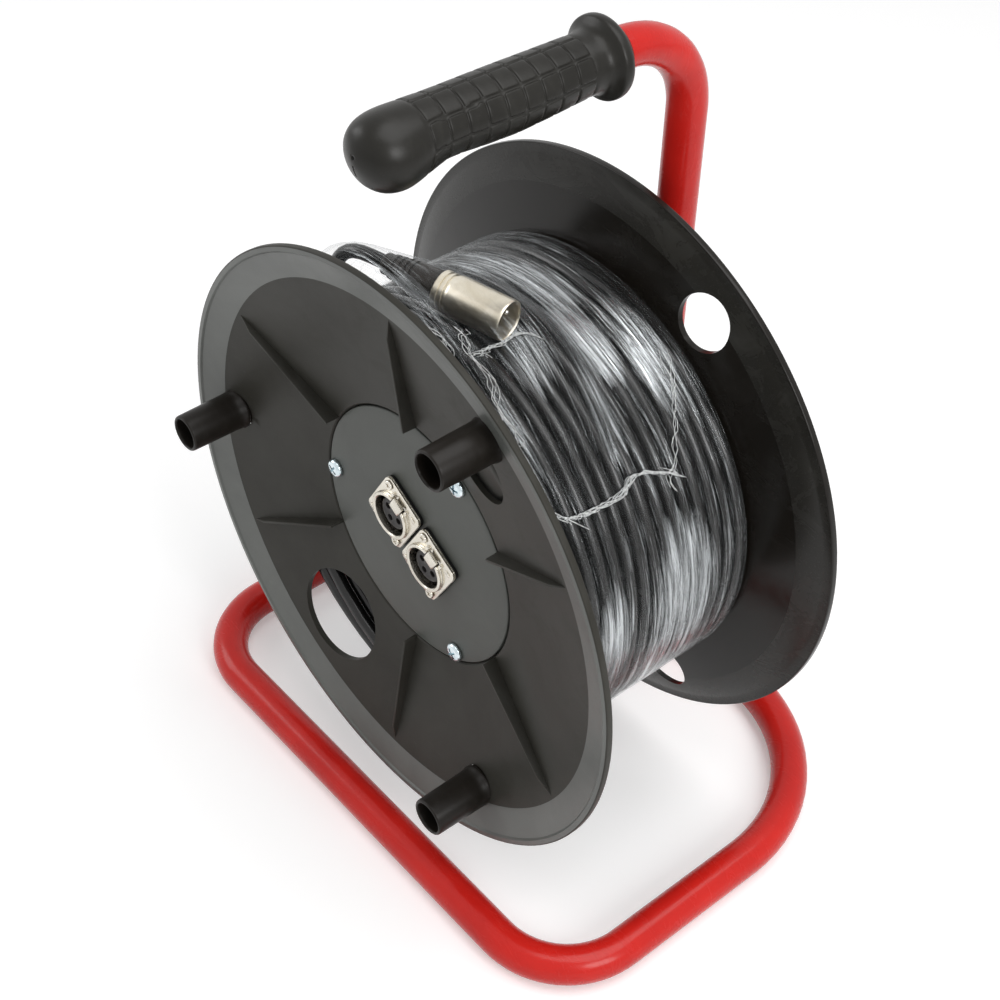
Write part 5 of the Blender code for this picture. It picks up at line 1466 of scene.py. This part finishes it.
def buildFilm():
    gap = 2 * film["half"] / film["rings"]
    rings = [(film["radius"], -film["half"] + gap * count) for count in range(film["rings"] + 1)]
    item = turnRings("wrapping_film", rings, film["steps"], False)
    tops = supports()
    for vert in item.data.vertices:
        angle = math.atan2(vert.co.y, vert.co.x)
        radius = filmRadius(angle, vert.co.z, tops)
        vert.co.x, vert.co.y = radius * math.cos(angle), radius * math.sin(angle)
    # the map runs once round the drum from its left side, and once across it
    for old in list(item.data.uv_layers):
        item.data.uv_layers.remove(old)
    layer = item.data.uv_layers.new(name="wrap")
    for face in item.data.polygons:
        middle = math.atan2(face.center.y, face.center.x)
        for corner in face.loop_indices:
            place = item.data.vertices[item.data.loops[corner].vertex_index].co
            angle = math.atan2(place.y, place.x)
            angle += 2 * math.pi * round((middle - angle) / (2 * math.pi))
            layer.data[corner].uv = ((angle / math.pi + 1) / 2, place.z / (2 * film["half"]) + 0.5)
    smooth(item, 60)
    settle(item, drumPlace)
    item.data.materials.append(looks["film"])
    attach(item, "drum")
    print("film built:", len(item.data.polygons), "faces")


def buildStrands():
    tops = supports()
    made = []
    for number, (threads, places) in enumerate(strands):
        for thread in range(threads):
            line = []
            for (angle, height), (nextAngle, nextHeight) in zip(places, places[1:]):
                for count in range(6):
                    share = count / 6
                    line.append((angle + (nextAngle - angle) * share, height + (nextHeight - height) * share))
            line.append(places[-1])
            route = []
            for count, (angle, height) in enumerate(line):
                seed = Vector((count * 0.23, number * 7.1, thread * 3.7))
                sway = mathNoise.noise(seed) * 0.9 + mathNoise.noise(seed * 3.1) * 0.35
                lift = mathNoise.noise(seed + Vector((50.0, 0, 0)))
                fray = 1.0 + 2.2 * max(0.0, 1.0 - min(count, len(line) - 1 - count) / 5.0)
                height += 0.0022 * sway * fray
                angle += 1.3 * sway * fray
                radius = filmRadius(math.radians(angle), height, tops) + 0.0008 + 0.0006 * lift
                route.append(drumPlace @ onDrum(radius, angle, height))
            strand = tubeCurve("strand", route, 0.00022, False, 1)
            for count, point in enumerate(strand.data.splines[0].points):
                point.radius = 0.55 + 0.75 * abs(mathNoise.noise(Vector((count * 0.7, thread, number))))
            made.append(strand)
    deselectAll()
    for strand in made:
        strand.select_set(True)
    bpy.context.view_layer.objects.active = made[0]
    bpy.ops.object.convert(target="MESH")
    item = joinAll("film_strands", made)
    item.data.materials.clear()
    item.data.materials.append(looks["strand"])
    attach(item, "drum")


# backdrop, lamps and world
studio = {
    "floor": (0.82, 0.82, 0.82),
    "floorLift": 0.30,
    "ambient": 0.42,
    "lamps": (
        ("top_box", (0.35, 0.15, 1.55), (0.0, -0.05, 0.15), 1.2, 12.5),
        ("left_box", (-1.30, -0.80, 0.95), (0.0, 0.0, 0.20), 0.8, 6.5),
        ("right_box", (1.25, -0.15, 0.85), (0.0, 0.0, 0.20), 0.6, 8.0),
    ),
}


def buildStudio():
    deselectAll()
    bpy.ops.mesh.primitive_plane_add(size=12.0, location=(0, 0, 0))
    floor = takeNew("studio_floor")
    made = bpy.data.materials.new("studio_floor")
    made.use_nodes = True
    tree = made.node_tree
    shader = tree.nodes["Principled BSDF"]
    shader.inputs["Base Color"].default_value = (*studio["floor"], 1.0)
    shader.inputs["Roughness"].default_value = 0.9
    shader.inputs["Specular IOR Level"].default_value = 0.1
    path = tree.nodes.new("ShaderNodeLightPath")
    seen = mathNode(tree, "MAXIMUM", path.outputs["Is Camera Ray"], path.outputs["Is Glossy Ray"])
    seen = mathNode(tree, "MAXIMUM", seen, path.outputs["Is Transmission Ray"])
    lift = mathNode(tree, "MULTIPLY", seen, studio["floorLift"])
    shader.inputs["Emission Color"].default_value = (1, 1, 1, 1)
    tree.links.new(lift, shader.inputs["Emission Strength"])
    floor.data.materials.append(made)

    world = bpy.data.worlds.new("studio")
    bpy.context.scene.world = world
    world.use_nodes = True
    tree = world.node_tree
    back = tree.nodes["Background"]
    path = tree.nodes.new("ShaderNodeLightPath")
    seen = mathNode(tree, "MAXIMUM", path.outputs["Is Camera Ray"], path.outputs["Is Glossy Ray"])
    seen = mathNode(tree, "MAXIMUM", seen, path.outputs["Is Transmission Ray"])
    back.inputs["Color"].default_value = (1, 1, 1, 1)
    tree.links.new(spread(tree, seen, 0.0, 1.0, studio["ambient"], 1.0), back.inputs["Strength"])

    for name, where, target, size, power in studio["lamps"]:
        data = bpy.data.lights.new(name, "AREA")
        data.shape = "SQUARE"
        data.size = size
        data.energy = power
        lamp = bpy.data.objects.new(name, data)
        bpy.context.scene.collection.objects.link(lamp)
        lamp.location = where
        lamp.rotation_euler = (Vector(target) - Vector(where)).to_track_quat("-Z", "Y").to_euler()
    bpy.context.scene.view_settings.view_transform = "Standard"


buildCamera()
buildMaterials()
dressFrame()
buildStudio()
buildPlugs()
buildCables()
buildFlanges()
buildPosts()
buildHubPlate()
buildHubScrews()
buildSockets()
buildStand()
buildGrip()
buildFilm()
buildStrands()
